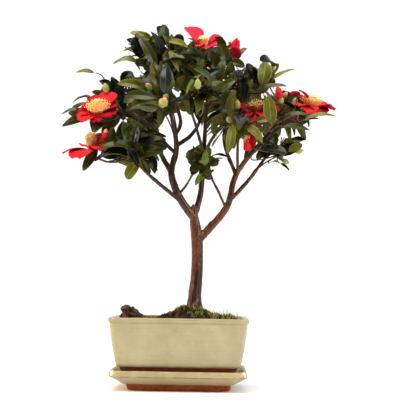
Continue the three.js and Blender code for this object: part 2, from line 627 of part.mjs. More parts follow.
// All of a mass's pieces fused into one solid.
function massSolid({ mass, stem, stemRadii, shoots, leaves }) {
  const stemSteps = stem.map((_, i) => lerp(...stemRadii, i / STEM_STEPS));
  const pieces = [limbBody(stem, stemSteps, STEM_SIDES), ...shoots.map(shootBody)];
  leaves.forEach((leaf) => pieces.push(bladeBody(leaf, LEAF)));
  for (const flower of FLOWERS.filter((each) => each.mass === mass.name)) {
    const facing = vector(flower.facing).normalize();
    const line = bossLine(flower, facing, stem);
    const bossRadius = BOSS.radius * flower.size;
    const radii = [...SHOOT.radii, bossRadius, bossRadius * BOSS.topShare];
    pieces.push(limbBody(line, radii, FLOWER.petals), ...petalBodies(flower, facing, line));
  }
  return wasm.Manifold.union(pieces);
}

const bonsai = new THREE.Group();
bonsai.name = "camellia_bonsai";

const soil = soilBody();
const limbs = limbLines();
const trunkRoom = limbSolid(limbs.trunk, CLEARANCE);
bonsai.add(
  toMesh("tray", vessel(TRAY_SIZE, [...TRAY_FOOT, ...TRAY_OUTSIDE, ...TRAY_INSIDE]), "glaze"),
  toMesh("pot", vessel(POT_SIZE, [...POT_FOOT, ...POT_OUTSIDE, ...POT_INSIDE]), "glaze"),
  toMesh("soil", soil, "soil"),
  toMesh("moss_collar", mossBody(), "moss"),
  toMesh("root_piece", rootPieceBody(soil), "wood"),
  toMesh("trunk", limbSolid(limbs.trunk), "bark"),
);

const limbRoom = [trunkRoom];
for (const bough of BOUGHS) {
  const room = wasm.Manifold.union(limbRoom);
  bonsai.add(toMesh(bough.name, limbSolid(limbs[bough.name]).subtract(room), "bark"));
  limbRoom.push(limbSolid(limbs[bough.name], CLEARANCE));
}

for (const mass of MASSES) {
  const grown = growMass(mass, limbs[mass.bough], Object.values(limbs));
  bonsai.add(toMesh(mass.name, massSolid(grown), "leaf"));
}

export default bonsai;
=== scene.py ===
# A flowering camellia bonsai in a glazed pot that stands in its matching tray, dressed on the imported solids.
# Metres, +Z up, -Y to the front. The plant's own sizes are written in millimetres, as a grower gives them.
import math

import bmesh
import bpy
import numpy as np
from mathutils import Matrix, Vector, noise


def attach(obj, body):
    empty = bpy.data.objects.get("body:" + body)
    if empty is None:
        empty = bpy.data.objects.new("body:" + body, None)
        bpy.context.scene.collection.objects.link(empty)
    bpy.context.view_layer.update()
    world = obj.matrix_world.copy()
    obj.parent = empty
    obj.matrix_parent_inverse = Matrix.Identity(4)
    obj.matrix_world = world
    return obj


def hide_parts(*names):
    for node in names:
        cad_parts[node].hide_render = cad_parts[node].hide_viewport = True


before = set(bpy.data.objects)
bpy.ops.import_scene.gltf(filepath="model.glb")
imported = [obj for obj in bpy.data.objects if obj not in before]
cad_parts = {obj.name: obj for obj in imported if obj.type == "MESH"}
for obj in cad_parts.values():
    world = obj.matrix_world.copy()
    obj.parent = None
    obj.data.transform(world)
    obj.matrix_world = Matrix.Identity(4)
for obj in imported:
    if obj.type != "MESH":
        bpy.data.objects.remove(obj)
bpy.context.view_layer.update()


# Tray
# A drip tray of red clay with a flared wall and an upright rim, pressed as one slab. It is dipped in
# cream glaze down to its bare foot, which stood unglazed on the kiln shelf.
MM = 0.001
TRAY_SIZE = (158, 120)
TRAY_CORNER = 12
TRAY_WALL = [
    (22, 0), (20.6, 0.4), (19.7, 1.8), (19.2, 4.4), (18.9, 7), (15.4, 7.2), (14.7, 7.6), (8.4, 11.6), (2, 15.5),
    (0.7, 16.2), (0.1, 16.9), (0, 17.8), (0.5, 20.4), (0.9, 22.2), (1.5, 23.1), (2.4, 23.4), (3.4, 23.2), (4.4, 22.6),
    (5.6, 21.2), (8.2, 17.4), (10.3, 14.3), (11.2, 14)]
TRAY_FOOT_TOP = 7.05
TRAY_RIM = 3
TRAY_UPWARD = 0.2
CORNER_SEGMENTS = 8
SIDE_CUTS = 14
CLAY_WOBBLE = 0.35
CLAY_WOBBLE_SCALE = 26
CLAY_SEED = 4
FLAT_BELOW = 1
SMOOTH_ANGLE = 38

# Without a seed, Blender takes one for the clay's wobble from the clock, and each run differs.
noise.seed_set(CLAY_SEED)


def basic_shape(name, add, **settings):
    """A new piece from one of Blender's basic shapes, which an operator adds."""
    bpy.ops.object.select_all(action="DESELECT")
    add(**settings)
    piece = bpy.context.object
    piece.name = name
    return piece


def raise_vessel(name, size, corner, wall):
    """A clay vessel: a slab with round corners whose edge is raised along a wall of (inset, height)."""
    vessel = basic_shape(name, bpy.ops.mesh.primitive_plane_add, size=1)
    bpy.ops.object.mode_set(mode="EDIT")
    bpy.ops.mesh.select_all(action="SELECT")
    bpy.ops.transform.resize(value=(size[0] * MM, size[1] * MM, 1))
    bpy.ops.mesh.bevel(offset=corner * MM, segments=CORNER_SEGMENTS, affect="VERTICES")
    slab = bmesh.from_edit_mesh(vessel.data)
    bpy.ops.mesh.select_all(action="DESELECT")
    bpy.ops.mesh.select_mode(type="EDGE")
    for edge in slab.edges:
        edge.select_set(edge.calc_length() > 2 * corner * MM)
    bmesh.update_edit_mesh(vessel.data)
    bpy.ops.mesh.subdivide(number_cuts=SIDE_CUTS)
    bpy.ops.mesh.select_mode(type="FACE")
    bpy.ops.mesh.select_all(action="SELECT")
    last_inset = last_height = 0
    for step, (inset, height) in enumerate(wall):
        if step:
            bpy.ops.mesh.extrude_region_move()
        slab = bmesh.from_edit_mesh(vessel.data)
        for vert in (vert for vert in slab.verts if vert.select):
            for axis in (0, 1):
                straight = (size[axis] / 2 - corner - last_inset) * MM
                share = min(abs(vert.co[axis]) / straight, 1)
                vert.co[axis] -= math.copysign(share, vert.co[axis]) * (inset - last_inset) * MM
            vert.co.z += (height - last_height) * MM
        bmesh.update_edit_mesh(vessel.data)
        last_inset, last_height = inset, height
    bpy.ops.mesh.select_all(action="SELECT")
    bpy.ops.mesh.normals_make_consistent(inside=False)
    bpy.ops.object.mode_set(mode="OBJECT")
    for vert in vessel.data.vertices:
        if vert.co.z > FLAT_BELOW * MM:
            sway = noise.noise_vector(vert.co * CLAY_WOBBLE_SCALE) * CLAY_WOBBLE * MM
            vert.co += Vector((sway.x, sway.y, sway.z * 0.6))
    bpy.ops.object.shade_smooth_by_angle(angle=math.radians(SMOOTH_ANGLE))
    return vessel


def new_material(name, roughness):
    """An empty material: its node tree, and its shader with the roughness set."""
    material = bpy.data.materials.new(name)
    material.use_nodes = True
    shader = material.node_tree.nodes["Principled BSDF"]
    shader.inputs["Roughness"].default_value = roughness
    return material, material.node_tree, shader


def grain(tree, scale, detail=5, stretch=(1, 1, 1), roughness=0.55):
    """A noise in the piece's own coordinates, drawn out along the axes by stretch."""
    place = tree.nodes.new("ShaderNodeTexCoord")
    drawn = tree.nodes.new("ShaderNodeMapping")
    drawn.inputs["Scale"].default_value = stretch
    texture = tree.nodes.new("ShaderNodeTexNoise")
    texture.inputs["Scale"].default_value = scale
    texture.inputs["Detail"].default_value = detail
    texture.inputs["Roughness"].default_value = roughness
    tree.links.new(place.outputs["Object"], drawn.inputs["Vector"])
    tree.links.new(drawn.outputs["Vector"], texture.inputs["Vector"])
    return texture.outputs["Fac"]


def tint(tree, value, stops):
    """A colour band of (place, colour) that a value runs through."""
    band = tree.nodes.new("ShaderNodeValToRGB")
    band.color_ramp.elements.remove(band.color_ramp.elements[1])
    for index, (place, colour) in enumerate(stops):
        stop = band.color_ramp.elements[0] if index == 0 else band.color_ramp.elements.new(place)
        stop.position = place
        stop.color = (*colour, 1)
    tree.links.new(value, band.inputs["Fac"])
    return band.outputs["Color"]


def roughen(tree, shader, height, strength, distance):
    """A bump on the shader from a height value."""
    bump = tree.nodes.new("ShaderNodeBump")
    bump.inputs["Strength"].default_value = strength
    bump.inputs["Distance"].default_value = distance
    tree.links.new(height, bump.inputs["Height"])
    tree.links.new(bump.outputs["Normal"], shader.inputs["Normal"])


def grained_material(name, roughness, pattern, stops, relief, strength, depth):
    """A finish whose colours follow one grain and whose bump follows another, each by its own settings."""
    material, tree, shader = new_material(name, roughness)
    tree.links.new(tint(tree, grain(tree, **pattern), stops), shader.inputs["Base Color"])
    roughen(tree, shader, grain(tree, **relief), strength, depth)
    return material


def blend_colours(tree, share, under, over):
    """One colour laid over another by a share from 0 to 1."""
    mix = tree.nodes.new("ShaderNodeMix")
    mix.data_type = "RGBA"
    tree.links.new(share, mix.inputs["Factor"])
    tree.links.new(under, mix.inputs["A"])
    tree.links.new(over, mix.inputs["B"])
    return mix.outputs["Result"]


def shaded_by(tree, colour, shade, share):
    """A colour darkened by another one, up to a share."""
    mix = tree.nodes.new("ShaderNodeMix")
    mix.data_type = "RGBA"
    mix.blend_type = "MULTIPLY"
    mix.inputs["Factor"].default_value = share
    tree.links.new(colour, mix.inputs["A"])
    tree.links.new(shade, mix.inputs["B"])
    return mix.outputs["Result"]


def in_range(tree, value, low, high, share=1):
    """A value from low to high, stretched to run from nought to a share."""
    stretch = tree.nodes.new("ShaderNodeMapRange")
    stretch.inputs["From Min"].default_value = low
    stretch.inputs["From Max"].default_value = high
    stretch.inputs["To Max"].default_value = share
    tree.links.new(value, stretch.inputs["Value"])
    return stretch.outputs["Result"]


def height_share(tree, low, high):
    """How high a place of the piece lies, as a share of the way from low to high."""
    place = tree.nodes.new("ShaderNodeTexCoord")
    parts = tree.nodes.new("ShaderNodeSeparateXYZ")
    tree.links.new(place.outputs["Object"], parts.inputs["Vector"])
    return in_range(tree, parts.outputs["Z"], low, high)


GLAZE_CREAM = [(0.3, (0.36, 0.315, 0.192)), (0.5, (0.386, 0.343, 0.217)), (0.72, (0.415, 0.378, 0.25))]


def glaze_material(name, top, thin_places, lightness_and_painted_light=1):
    """Cream glaze: cloudy, brushed on level, finely speckled, with its cream scaled by a lightness, and tan where it
    thins over an edge.
    """
    material, tree, shader = new_material(name, 0.34)
    cream = tint(tree, grain(tree, 34, 4), [
        (place, tuple(part * lightness_and_painted_light for part in colour)) for place, colour in GLAZE_CREAM])
    strokes = tint(tree, grain(tree, 420, 3, stretch=(0.04, 0.04, 1)), [(0.34, (0.8, 0.76, 0.68)), (0.58, (1, 1, 1))])
    fleck = tint(tree, grain(tree, 900, 2), [(0.0, (0.3, 0.2, 0.1)), (0.29, (0.38, 0.28, 0.15)), (0.34, (1, 1, 1))])
    glazed = shaded_by(tree, shaded_by(tree, cream, strokes, 0.2), fleck, 0.6)
    edges = tint(tree, height_share(tree, 0, top * MM), [(z / top, (share,) * 3) for z, share in thin_places])
    thin = tint(tree, grain(tree, 70, 4), [(0.34, (0.17, 0.09, 0.035)), (0.66, (0.42, 0.31, 0.16))])
    tree.links.new(blend_colours(tree, edges, glazed, thin), shader.inputs["Base Color"])
    roughen(tree, shader, grain(tree, 260, 3, stretch=(0.3, 0.3, 1)), 0.16, 0.0006)
    shader.inputs["Coat Weight"].default_value = 0.25
    shader.inputs["Coat Roughness"].default_value = 0.22
    return material


def clay_material(name, stops):
    """Bare red clay with a fine sandy grain."""
    return grained_material(name, 0.78, {"scale": 120, "detail": 6}, stops, {"scale": 700, "detail": 4}, 0.35, 0.0005)


tray = raise_vessel("glazed_tray", TRAY_SIZE, TRAY_CORNER, TRAY_WALL)
tray.data.materials.append(glaze_material("tray_glaze", 23, [
    (0, 0.9), (7.4, 0.9), (8.2, 0), (15.2, 0), (16.4, 0.95), (17.8, 0.06), (21.9, 0.06), (22.9, 0.6)], 1.08))
# Painted light: the tray's bare foot gets a lighter copy of the clay than the pot's foot, to lift the shade under the
# tray's overhang.
tray.data.materials.append(clay_material("tray_clay_lit", [
    (0.3, (0.27, 0.06, 0.016)), (0.52, (0.4, 0.098, 0.026)), (0.75, (0.5, 0.15, 0.045))]))
# Painted light: the glaze on the tray's upward faces inside its rim is painted nearly twice as light, to lift the shade
# there.
tray.data.materials.append(glaze_material("tray_glaze_inside_lit", 23, [(13, 0), (22, 0), (22.9, 0.4)], 1.9))
for face in tray.data.polygons:
    inset = min(TRAY_SIZE[0] / 2 - abs(face.center.x / MM), TRAY_SIZE[1] / 2 - abs(face.center.y / MM))
    face.material_index = int(face.center.z < TRAY_FOOT_TOP * MM)
    # Upward faces inside the rim take the glaze that is painted light.
    if face.normal.z > TRAY_UPWARD and inset > TRAY_RIM:
        face.material_index = 2
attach(tray, "root")
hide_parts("tray")


# Pot
# A rectangular pot of the same red clay with walls that lean out to a banded rim. The glaze stops
# short of its low foot, which stands in the tray.
POT_SIZE = (160, 124)
POT_CORNER = 9
POT_WALL = [
    (15.5, 14.1), (15, 16), (14.5, 21.5), (12.6, 26.6), (11.4, 27), (10.2, 27.5), (9.2, 28.8), (8.5, 30.6),
    (7.6, 33.8), (6, 43), (4.4, 52), (2.9, 64), (1.9, 74.4), (1.7, 76.4), (0.9, 77.4), (0.2, 78), (0, 78.9),
    (0, 81.2), (0.3, 82.2), (1.1, 82.8), (4.6, 82.8), (5.6, 82.4), (6.2, 81.2), (7.4, 75), (10.5, 58), (12, 57)]
POT_FOOT_TOP = 26.9

pot = raise_vessel("glazed_pot", POT_SIZE, POT_CORNER, POT_WALL)
pot.data.materials.append(glaze_material("pot_glaze", 82.8, [
    (26.8, 0.9), (28, 0.35), (29.6, 0), (75.6, 0), (77, 0.22), (78.2, 0.02), (81.8, 0.02), (82.7, 0.2)]))
# Painted shade: the pot's foot, down in the tray, gets a darker copy of the same clay than the tray's foot.
pot.data.materials.append(clay_material("pot_clay_shaded", [
    (0.3, (0.11, 0.024, 0.008)), (0.52, (0.19, 0.04, 0.012)), (0.75, (0.28, 0.07, 0.022))]))
for face in pot.data.polygons:
    face.material_index = int(face.center.z < POT_FOOT_TOP * MM)
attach(pot, "root")
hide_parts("pot")


# Soil
# Dark, damp potting soil that fills the pot and is mounded up to the trunk, with crumbs of it and
# of fired clay lying loose on top.
SOIL_HALF = (72.9, 54.9)
SOIL_CORNER = 8.6
SOIL_EDGE = 79
SOIL_BOTTOM = 62
SOIL_GRID = (110, 84)
SOIL_OPEN = (70, 52)
MOUNDS = [
    {"x": 16, "y": 0, "radius": 14, "run": 42, "height": 89.4},
    {"x": 46, "y": -12, "radius": 10, "run": 34, "height": 84.6},
]
CRUMBS = 1500
FINE_CRUMB, COARSE_CRUMB, LUMP = (0.5, 1.0), (1.0, 2.1), (1.4, 3.2)
COARSE_EVERY = 5
DARK_CRUMBS = 0.8
LUMPS = 110
LUMP_PLACE = ((-9, 9), (-14, 14))
crumb_dice = np.random.default_rng(5)


def soil_height(x, y):
    """Height of the soil at a place, in millimetres: a mound round the trunk and a lower one at its right."""
    rise = 0
    for mound in MOUNDS:
        far = max(math.hypot(x - mound["x"], y - mound["y"]), 0.01)
        run = mound["run"] * (0.72 - 0.28 * (x - mound["x"]) / far)
        out = min(max((far - mound["radius"]) / run, 0), 1)
        rise = max(rise, (mound["height"] - SOIL_EDGE) * (1 - out * out * (3 - 2 * out)))
    return SOIL_EDGE + rise + noise.noise((x * 0.09, y * 0.09, 3)) * 1.5 + noise.noise((x * 0.4, y * 0.4, 7)) * 0.9


soil = basic_shape("potting_soil", bpy.ops.mesh.primitive_grid_add,
                   x_subdivisions=SOIL_GRID[0], y_subdivisions=SOIL_GRID[1], size=2)
for vert in soil.data.vertices:
    x, y = vert.co.x * SOIL_HALF[0], vert.co.y * SOIL_HALF[1]
    over = Vector((abs(x) - SOIL_HALF[0] + SOIL_CORNER, abs(y) - SOIL_HALF[1] + SOIL_CORNER))
    if over.x > 0 and over.y > 0 and over.length > SOIL_CORNER:
        pulled = over * (SOIL_CORNER / over.length - 1)
        x += math.copysign(1, x) * pulled.x
        y += math.copysign(1, y) * pulled.y
    vert.co = Vector((x, y, soil_height(x, y))) * MM
bpy.ops.object.mode_set(mode="EDIT")
bpy.ops.mesh.select_all(action="SELECT")
bpy.ops.mesh.extrude_region_move()
below = bmesh.from_edit_mesh(soil.data)
for vert in (vert for vert in below.verts if vert.select):
    vert.co.z = SOIL_BOTTOM * MM
bmesh.update_edit_mesh(soil.data)
bpy.ops.mesh.select_all(action="SELECT")
bpy.ops.mesh.normals_make_consistent(inside=False)
bpy.ops.object.mode_set(mode="OBJECT")
bpy.ops.object.shade_smooth()

soil.data.materials.append(grained_material("damp_soil", 0.9, {"scale": 260, "detail": 8, "roughness": 0.7}, [
    (0.32, (0.012, 0.008, 0.006)), (0.5, (0.035, 0.021, 0.014)), (0.66, (0.085, 0.05, 0.03)), (0.8, (0.16, 0.1, 0.06))
], {"scale": 420, "detail": 6}, 0.9, 0.0014))
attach(soil, "root")
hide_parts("soil")


def plain_material(name, colours, scale, roughness, strength=0.3):
    """A mottled finish of a few close colours with a fine bump."""
    stops = list(zip(np.linspace(0.3, 0.7, len(colours)), colours))
    return grained_material(name, roughness, {"scale": scale}, stops, {"scale": scale * 3}, strength, 0.0004)


def joined_piece(name, points, faces, kinds, materials, smooth=False):
    """One mesh of many small like things, from points in millimetres, with a material for each face."""
    mesh = bpy.data.meshes.new(name)
    mesh.from_pydata((np.asarray(points) * MM).tolist(), [], faces)
    for material in materials:
        mesh.materials.append(material)
    mesh.polygons.foreach_set("material_index", np.asarray(kinds, dtype=np.int32))
    mesh.polygons.foreach_set("use_smooth", np.full(len(faces), smooth))
    mesh.update()
    piece = bpy.data.objects.new(name, mesh)
    bpy.context.scene.collection.objects.link(piece)
    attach(piece, "root")
    return piece


ball = basic_shape("ball", bpy.ops.mesh.primitive_ico_sphere_add, subdivisions=1, radius=1)
BALL_POINTS = np.array([vert.co[:] for vert in ball.data.vertices])
BALL_FACES = [tuple(face.vertices) for face in ball.data.polygons]
bpy.data.objects.remove(ball)

crumb_points, crumb_faces, crumb_kinds = [], [], []
for number in range(CRUMBS):
    x, y = (crumb_dice.uniform(-half, half) for half in SOIL_OPEN)
    size = crumb_dice.uniform(*(FINE_CRUMB if number % COARSE_EVERY else COARSE_CRUMB))
    if number < LUMPS:
        x, y = (crumb_dice.normal(middle, spread) for middle, spread in LUMP_PLACE)
        size = crumb_dice.uniform(*LUMP)
    shape = BALL_POINTS * crumb_dice.uniform(0.6, 1.2, (len(BALL_POINTS), 1)) * size * crumb_dice.uniform(0.7, 1.2, 3)
    first = len(crumb_points) * len(BALL_POINTS)
    crumb_points.append(shape + (x, y, soil_height(x, y) + size * 0.25))
    crumb_faces += [tuple(first + corner for corner in face) for face in BALL_FACES]
    crumb_kinds += [0 if crumb_dice.random() < DARK_CRUMBS else 1] * len(BALL_FACES)
crumbs = joined_piece("soil_crumbs", np.concatenate(crumb_points), crumb_faces, crumb_kinds, [
    plain_material("dark_crumb", [(0.02, 0.012, 0.008), (0.06, 0.034, 0.02)], 300, 0.92),
    plain_material("clay_crumb", [(0.13, 0.07, 0.035), (0.26, 0.17, 0.1)], 300, 0.9)])


# Root piece
# A knuckle of old weathered root that lies at the pot's left front corner, half sunk in the soil and
# grey-brown along its torn grain.
ROOT_LINE = [
    (-66.5, -18.5, 88), (-63, -18.5, 90.2), (-57, -18, 88.5), (-50, -18.5, 84.5), (-43.5, -19, 81), (-38.5, -19, 78)]
ROOT_RADII = [3.6, 6.6, 5.6, 5.2, 4.4, 2.4]
ROOT_BASE_LINE = [(-67, -17, 78), (-64, -18, 84), (-60, -19, 87)]
ROOT_BASE_RADII = [5.4, 5, 4]
ROOT_STUBS = [
    ([(-64, -19, 89), (-67.5, -23, 92.5)], (3.6, 2.2)),
    ([(-60, -19, 90), (-62, -25, 86), (-64, -28, 79)], (3.2, 2.6, 2.4)),
    ([(-53, -18, 87), (-51, -24, 83), (-46, -27, 78)], (3, 2.4, 2)),
    ([(-57, -17, 90), (-55, -16, 94)], (3.2, 1.8)),
    ([(-48, -18, 84), (-42, -22, 83), (-37, -24, 79)], (2.6, 1.8, 1.4)),
]
ROOT_VOXEL = 0.6
ROOT_SLOPE = (0.85, 0.5)
ROOT_RELIEF = {"torn": 1.3, "knots": 2}


def limb_tube(name, line, radii):
    """A round limb drawn along a line in millimetres, as a mesh."""
    drawn = bpy.data.curves.new(name, "CURVE")
    drawn.dimensions = "3D"
    drawn.bevel_depth = MM
    drawn.bevel_resolution = 4
    drawn.use_fill_caps = True
    path = drawn.splines.new("POLY")
    path.points.add(len(line) - 1)
    for point, place, radius in zip(path.points, line, radii):
        point.co = (*(np.asarray(place, dtype=float) * MM), 1)
        point.radius = radius
    limb = bpy.data.objects.new(name, drawn)
    bpy.context.scene.collection.objects.link(limb)
    bpy.ops.object.select_all(action="DESELECT")
    limb.select_set(True)
    bpy.context.view_layer.objects.active = limb
    bpy.ops.object.convert(target="MESH")
    return bpy.context.object


def grow_together(name, limbs, voxel, smoothing):
    """Limbs joined into one skin, with their joints rounded over."""
    bpy.ops.object.select_all(action="DESELECT")
    for limb in limbs:
        limb.select_set(True)
    bpy.context.view_layer.objects.active = limbs[0]
    bpy.ops.object.join()
    skin = bpy.context.object
    skin.name = name
    skin.data.remesh_voxel_size = voxel * MM
    bpy.ops.object.voxel_remesh()
    bpy.ops.object.modifier_add(type="SMOOTH")
    skin.modifiers[-1].factor = 0.5
    skin.modifiers[-1].iterations = smoothing
    bpy.ops.object.modifier_apply(modifier=skin.modifiers[-1].name)
    return skin


def weather(skin, relief):
    """Moves a skin out along its normals by a relief, which is given a place in millimetres."""
    normals = [vert.normal.copy() for vert in skin.data.vertices]
    for vert, normal in zip(skin.data.vertices, normals):
        vert.co += normal * relief(*(vert.co / MM)) * MM
    bpy.ops.object.shade_smooth()


def root_relief(x, y, z):
    """Torn grain along the old root's slope, and knots."""
    along, across = x * ROOT_SLOPE[0] - z * ROOT_SLOPE[1], x * ROOT_SLOPE[1] + z * ROOT_SLOPE[0]
    torn = noise.noise((along * 0.08, across * 0.55, y * 0.55)) * ROOT_RELIEF["torn"]
    return torn + noise.noise((x * 0.2, y * 0.2, z * 0.2)) * ROOT_RELIEF["knots"]


root_piece = grow_together("weathered_root", [
    limb_tube("root_length", ROOT_LINE, ROOT_RADII), limb_tube("root_base", ROOT_BASE_LINE, ROOT_BASE_RADII),
    *[limb_tube("root_stub", line, radii) for line, radii in ROOT_STUBS]], ROOT_VOXEL, 2)
weather(root_piece, root_relief)
root_piece.data.materials.append(grained_material(
    "weathered_wood", 0.85, {"scale": 150, "detail": 7, "stretch": (0.5, 1.6, 1.4)}, [
        (0.34, (0.012, 0.007, 0.004)), (0.46, (0.07, 0.036, 0.019)), (0.58, (0.17, 0.095, 0.05)),
        (0.74, (0.34, 0.22, 0.13))], {"scale": 300, "detail": 6, "stretch": (0.4, 1.5, 1.3)}, 0.9, 0.001))
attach(root_piece, "root")
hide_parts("root_piece")


# Trunk and boughs
# One living limb that leans, forks three times and thins out to the masses of foliage. Its bark is
# thin and smooth, with long low ridges, small knots and a flare of surface roots at the moss.
TRUNK_LINE = [(16, 0, 89.3), (16.4, 0.3, 104), (19, 1.6, 140), (18.4, 2, 174), (15, 0, 200), (14, -2, 215)]
TRUNK_RADII = [(0, 11.5), (0.05, 9.2), (0.13, 7.7), (0.3, 6.9), (0.6, 6.8), (0.72, 7), (0.86, 5.6), (1, 3)]
BOUGHS = [
    ("bough_left", "trunk", 0.88, (5.2, 1.9), [(-2, -6, 223), (-13, -12, 252), (-7, -20, 283), (-13, -46, 319)]),
    ("bough_centre", "trunk", 0.9, (3.7, 1.6), [(22, 8, 233), (25, 13, 285), (29, -4, 358)]),
    ("bough_right", "trunk", 0.66, (5, 1.6), [(53, -4, 213), (66, -8, 256), (110, -22, 310)]),
    ("bough_left_outer", "bough_left", 0.45, (3.2, 1.6), [(-27, 4, 279), (-30, 13, 297), (-56, 29, 338)]),
    ("bough_left_low", "bough_left", 0.17, (2.5, 1.5), [(-33, -24, 244), (-54, -40, 263)]),
    ("bough_left_side", "bough_left_outer", 0.4, (1.9, 1.3), [(-43, -12, 308), (-60, -28, 317)]),
    ("bough_left_up", "bough_left", 0.78, (2.2, 1.4), [(-3, -20, 316), (-17, -2, 358)]),
    ("bough_left_back", "bough_left", 0.62, (2.1, 1.3), [(-25, 14, 296), (-44, 47, 326)]),
    ("bough_cross", "bough_left", 0.69, (2.5, 1.4), [(9, 4, 301), (19, 28, 323), (19, 44, 348)]),
    ("bough_centre_front", "bough_centre", 0.5, (1.9, 1.2), [(16, -22, 307), (10, -52, 322)]),
    ("bough_centre_back", "bough_centre", 0.46, (2.1, 1.3), [(33, 34, 299), (50, 55, 326)]),
    ("bough_right_up", "bough_right", 0.55, (2.2, 1.4), [(49, -14, 295), (60, -13, 338)]),
    ("bough_right_front", "bough_right", 0.58, (1.8, 1.2), [(65, -34, 279), (66, -52, 293)]),
    ("bough_right_back", "bough_right", 0.67, (2.1, 1.3), [(78, 6, 286), (91, 33, 315)]),
    ("bough_right_low", "bough_right", 0.36, (2.6, 1.5), [(79, 6, 247), (101, 17, 278)]),
    ("bough_twig_left", "bough_left", 0.25, (1.5, 1), [(4, -14, 237), (13, -25, 251)]),
    ("bough_twig_right", "bough_right", 0.31, (1.4, 1), [(42, -12, 234), (34, -14, 248)]),
]
GROWTH_STEPS = 3
BARK_STEPS = 10
BARK_VOXEL = 0.64
BARK_COVER = 0.12
BARK_RELIEF = {"ridges": 0.34, "flakes": 0.16, "knots": 1.3}
KNOTS_ABOVE = 0.25
PRUNED_STUB = ([(14, -2, 208), (13.4, -4.5, 213), (13.6, -5.2, 216.5)], (2, 1.6, 1.3))
ROOT_LOBES = {"count": 5, "depth": 1.9, "height": 13, "turn": 0.6}


def smooth_line(points, steps):
    """Points of a smooth line through the given ones, and each point's share of the whole length."""
    points = np.asarray(points, dtype=float)
    ends = np.vstack([2 * points[0] - points[1], points, 2 * points[-1] - points[-2]])
    line = []
    for i in range((len(points) - 1) * steps + 1):
        span = min(i // steps, len(points) - 2)
        t = i / steps - span
        before, start, stop, after = ends[span:span + 4]
        slope_in, slope_out = (stop - before) / 2, (after - start) / 2
        line.append(start + slope_in * t + (3 * (stop - start) - 2 * slope_in - slope_out) * t ** 2
                    + (2 * (start - stop) + slope_in + slope_out) * t ** 3)
    line = np.array(line)
    lengths = np.concatenate([[0], np.cumsum(np.linalg.norm(np.diff(line, axis=0), axis=1))])
    return line, lengths / lengths[-1]


def limb_lines(steps):
    """Middle line and radii of the trunk and of every bough."""
    coarse = {"trunk": smooth_line(TRUNK_LINE, GROWTH_STEPS)}
    fine = {"trunk": smooth_line(TRUNK_LINE, steps)}
    radii = {"trunk": np.interp(fine["trunk"][1], *zip(*TRUNK_RADII))}
    for name, parent, share, ends, points in BOUGHS:
        parent_line, parent_shares = coarse[parent]
        start = [np.interp(share, parent_shares, parent_line[:, axis]) for axis in range(3)]
        coarse[name] = smooth_line([start, *points], GROWTH_STEPS)
        fine[name] = smooth_line([start, *points], steps)
        radii[name] = np.interp(fine[name][1], (0, 1), ends)
    return {name: (fine[name][0], radii[name]) for name in fine}


def bark_relief(x, y, z):
    """Long low ridges, fine flakes, small knots, and the lobes of the surface roots near the ground."""
    ridges = noise.noise((x * 0.42, y * 0.42, z * 0.045)) * BARK_RELIEF["ridges"]
    flakes = noise.noise((x * 0.9, y * 0.9, z * 0.24)) * BARK_RELIEF["flakes"]
    knots = max(noise.noise((x * 0.11, y * 0.11, z * 0.11)) - KNOTS_ABOVE, 0) * BARK_RELIEF["knots"]
    near_ground = max(1 - (z - TRUNK_LINE[0][2]) / ROOT_LOBES["height"], 0)
    angle = math.atan2(y - TRUNK_LINE[0][1], x - TRUNK_LINE[0][0])
    lobes = ROOT_LOBES["depth"] * math.cos(ROOT_LOBES["count"] * angle + ROOT_LOBES["turn"]) * min(near_ground, 1)
    return ridges + flakes + knots + lobes


tree_limbs = [limb_tube(name, line, radii + BARK_COVER) for name, (line, radii) in limb_lines(BARK_STEPS).items()]
tree_limbs.append(limb_tube("pruned_stub", *PRUNED_STUB))
bark = grow_together("barked_limbs", tree_limbs, BARK_VOXEL, 4)
weather(bark, bark_relief)
bark_material, bark_tree, bark_shader = new_material("camellia_bark", 0.34)
bark_base = tint(bark_tree, grain(bark_tree, 55, 8, stretch=(1, 1, 0.24), roughness=0.65), [
    (0.32, (0.015, 0.0045, 0.0018)), (0.45, (0.072, 0.022, 0.0075)), (0.57, (0.165, 0.058, 0.02)),
    (0.72, (0.36, 0.19, 0.1))])
bark_patch = tint(bark_tree, grain(bark_tree, 20, 4), [(0.35, (0.13, 0.065, 0.036)), (0.65, (0.05, 0.027, 0.021))])
bark_share = in_range(bark_tree, grain(bark_tree, 120, 5, stretch=(1, 1, 0.5)), 0.5, 0.68, 0.6)
# Painted shade: the bark's colour darkens with height, up into the crown, where the leaves shade the boughs.
bark_crown_shade = tint(bark_tree, height_share(bark_tree, 0.09, 0.42), [
    (0.16, (1, 1, 1)), (0.3, (0.84, 0.78, 0.72)), (0.46, (0.74, 0.62, 0.55)), (0.56, (0.5, 0.4, 0.38))])
bark_mixed = blend_colours(bark_tree, bark_share, bark_base, bark_patch)
bark_tree.links.new(shaded_by(bark_tree, bark_mixed, bark_crown_shade, 1), bark_shader.inputs["Base Color"])
roughen(bark_tree, bark_shader, grain(bark_tree, 240, 7, stretch=(1, 1, 0.3)), 0.55, 0.0009)
bark_shader.inputs["Specular IOR Level"].default_value = 0.5
bark.data.materials.append(bark_material)
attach(bark, "root")
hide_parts("trunk", *[bough[0] for bough in BOUGHS])


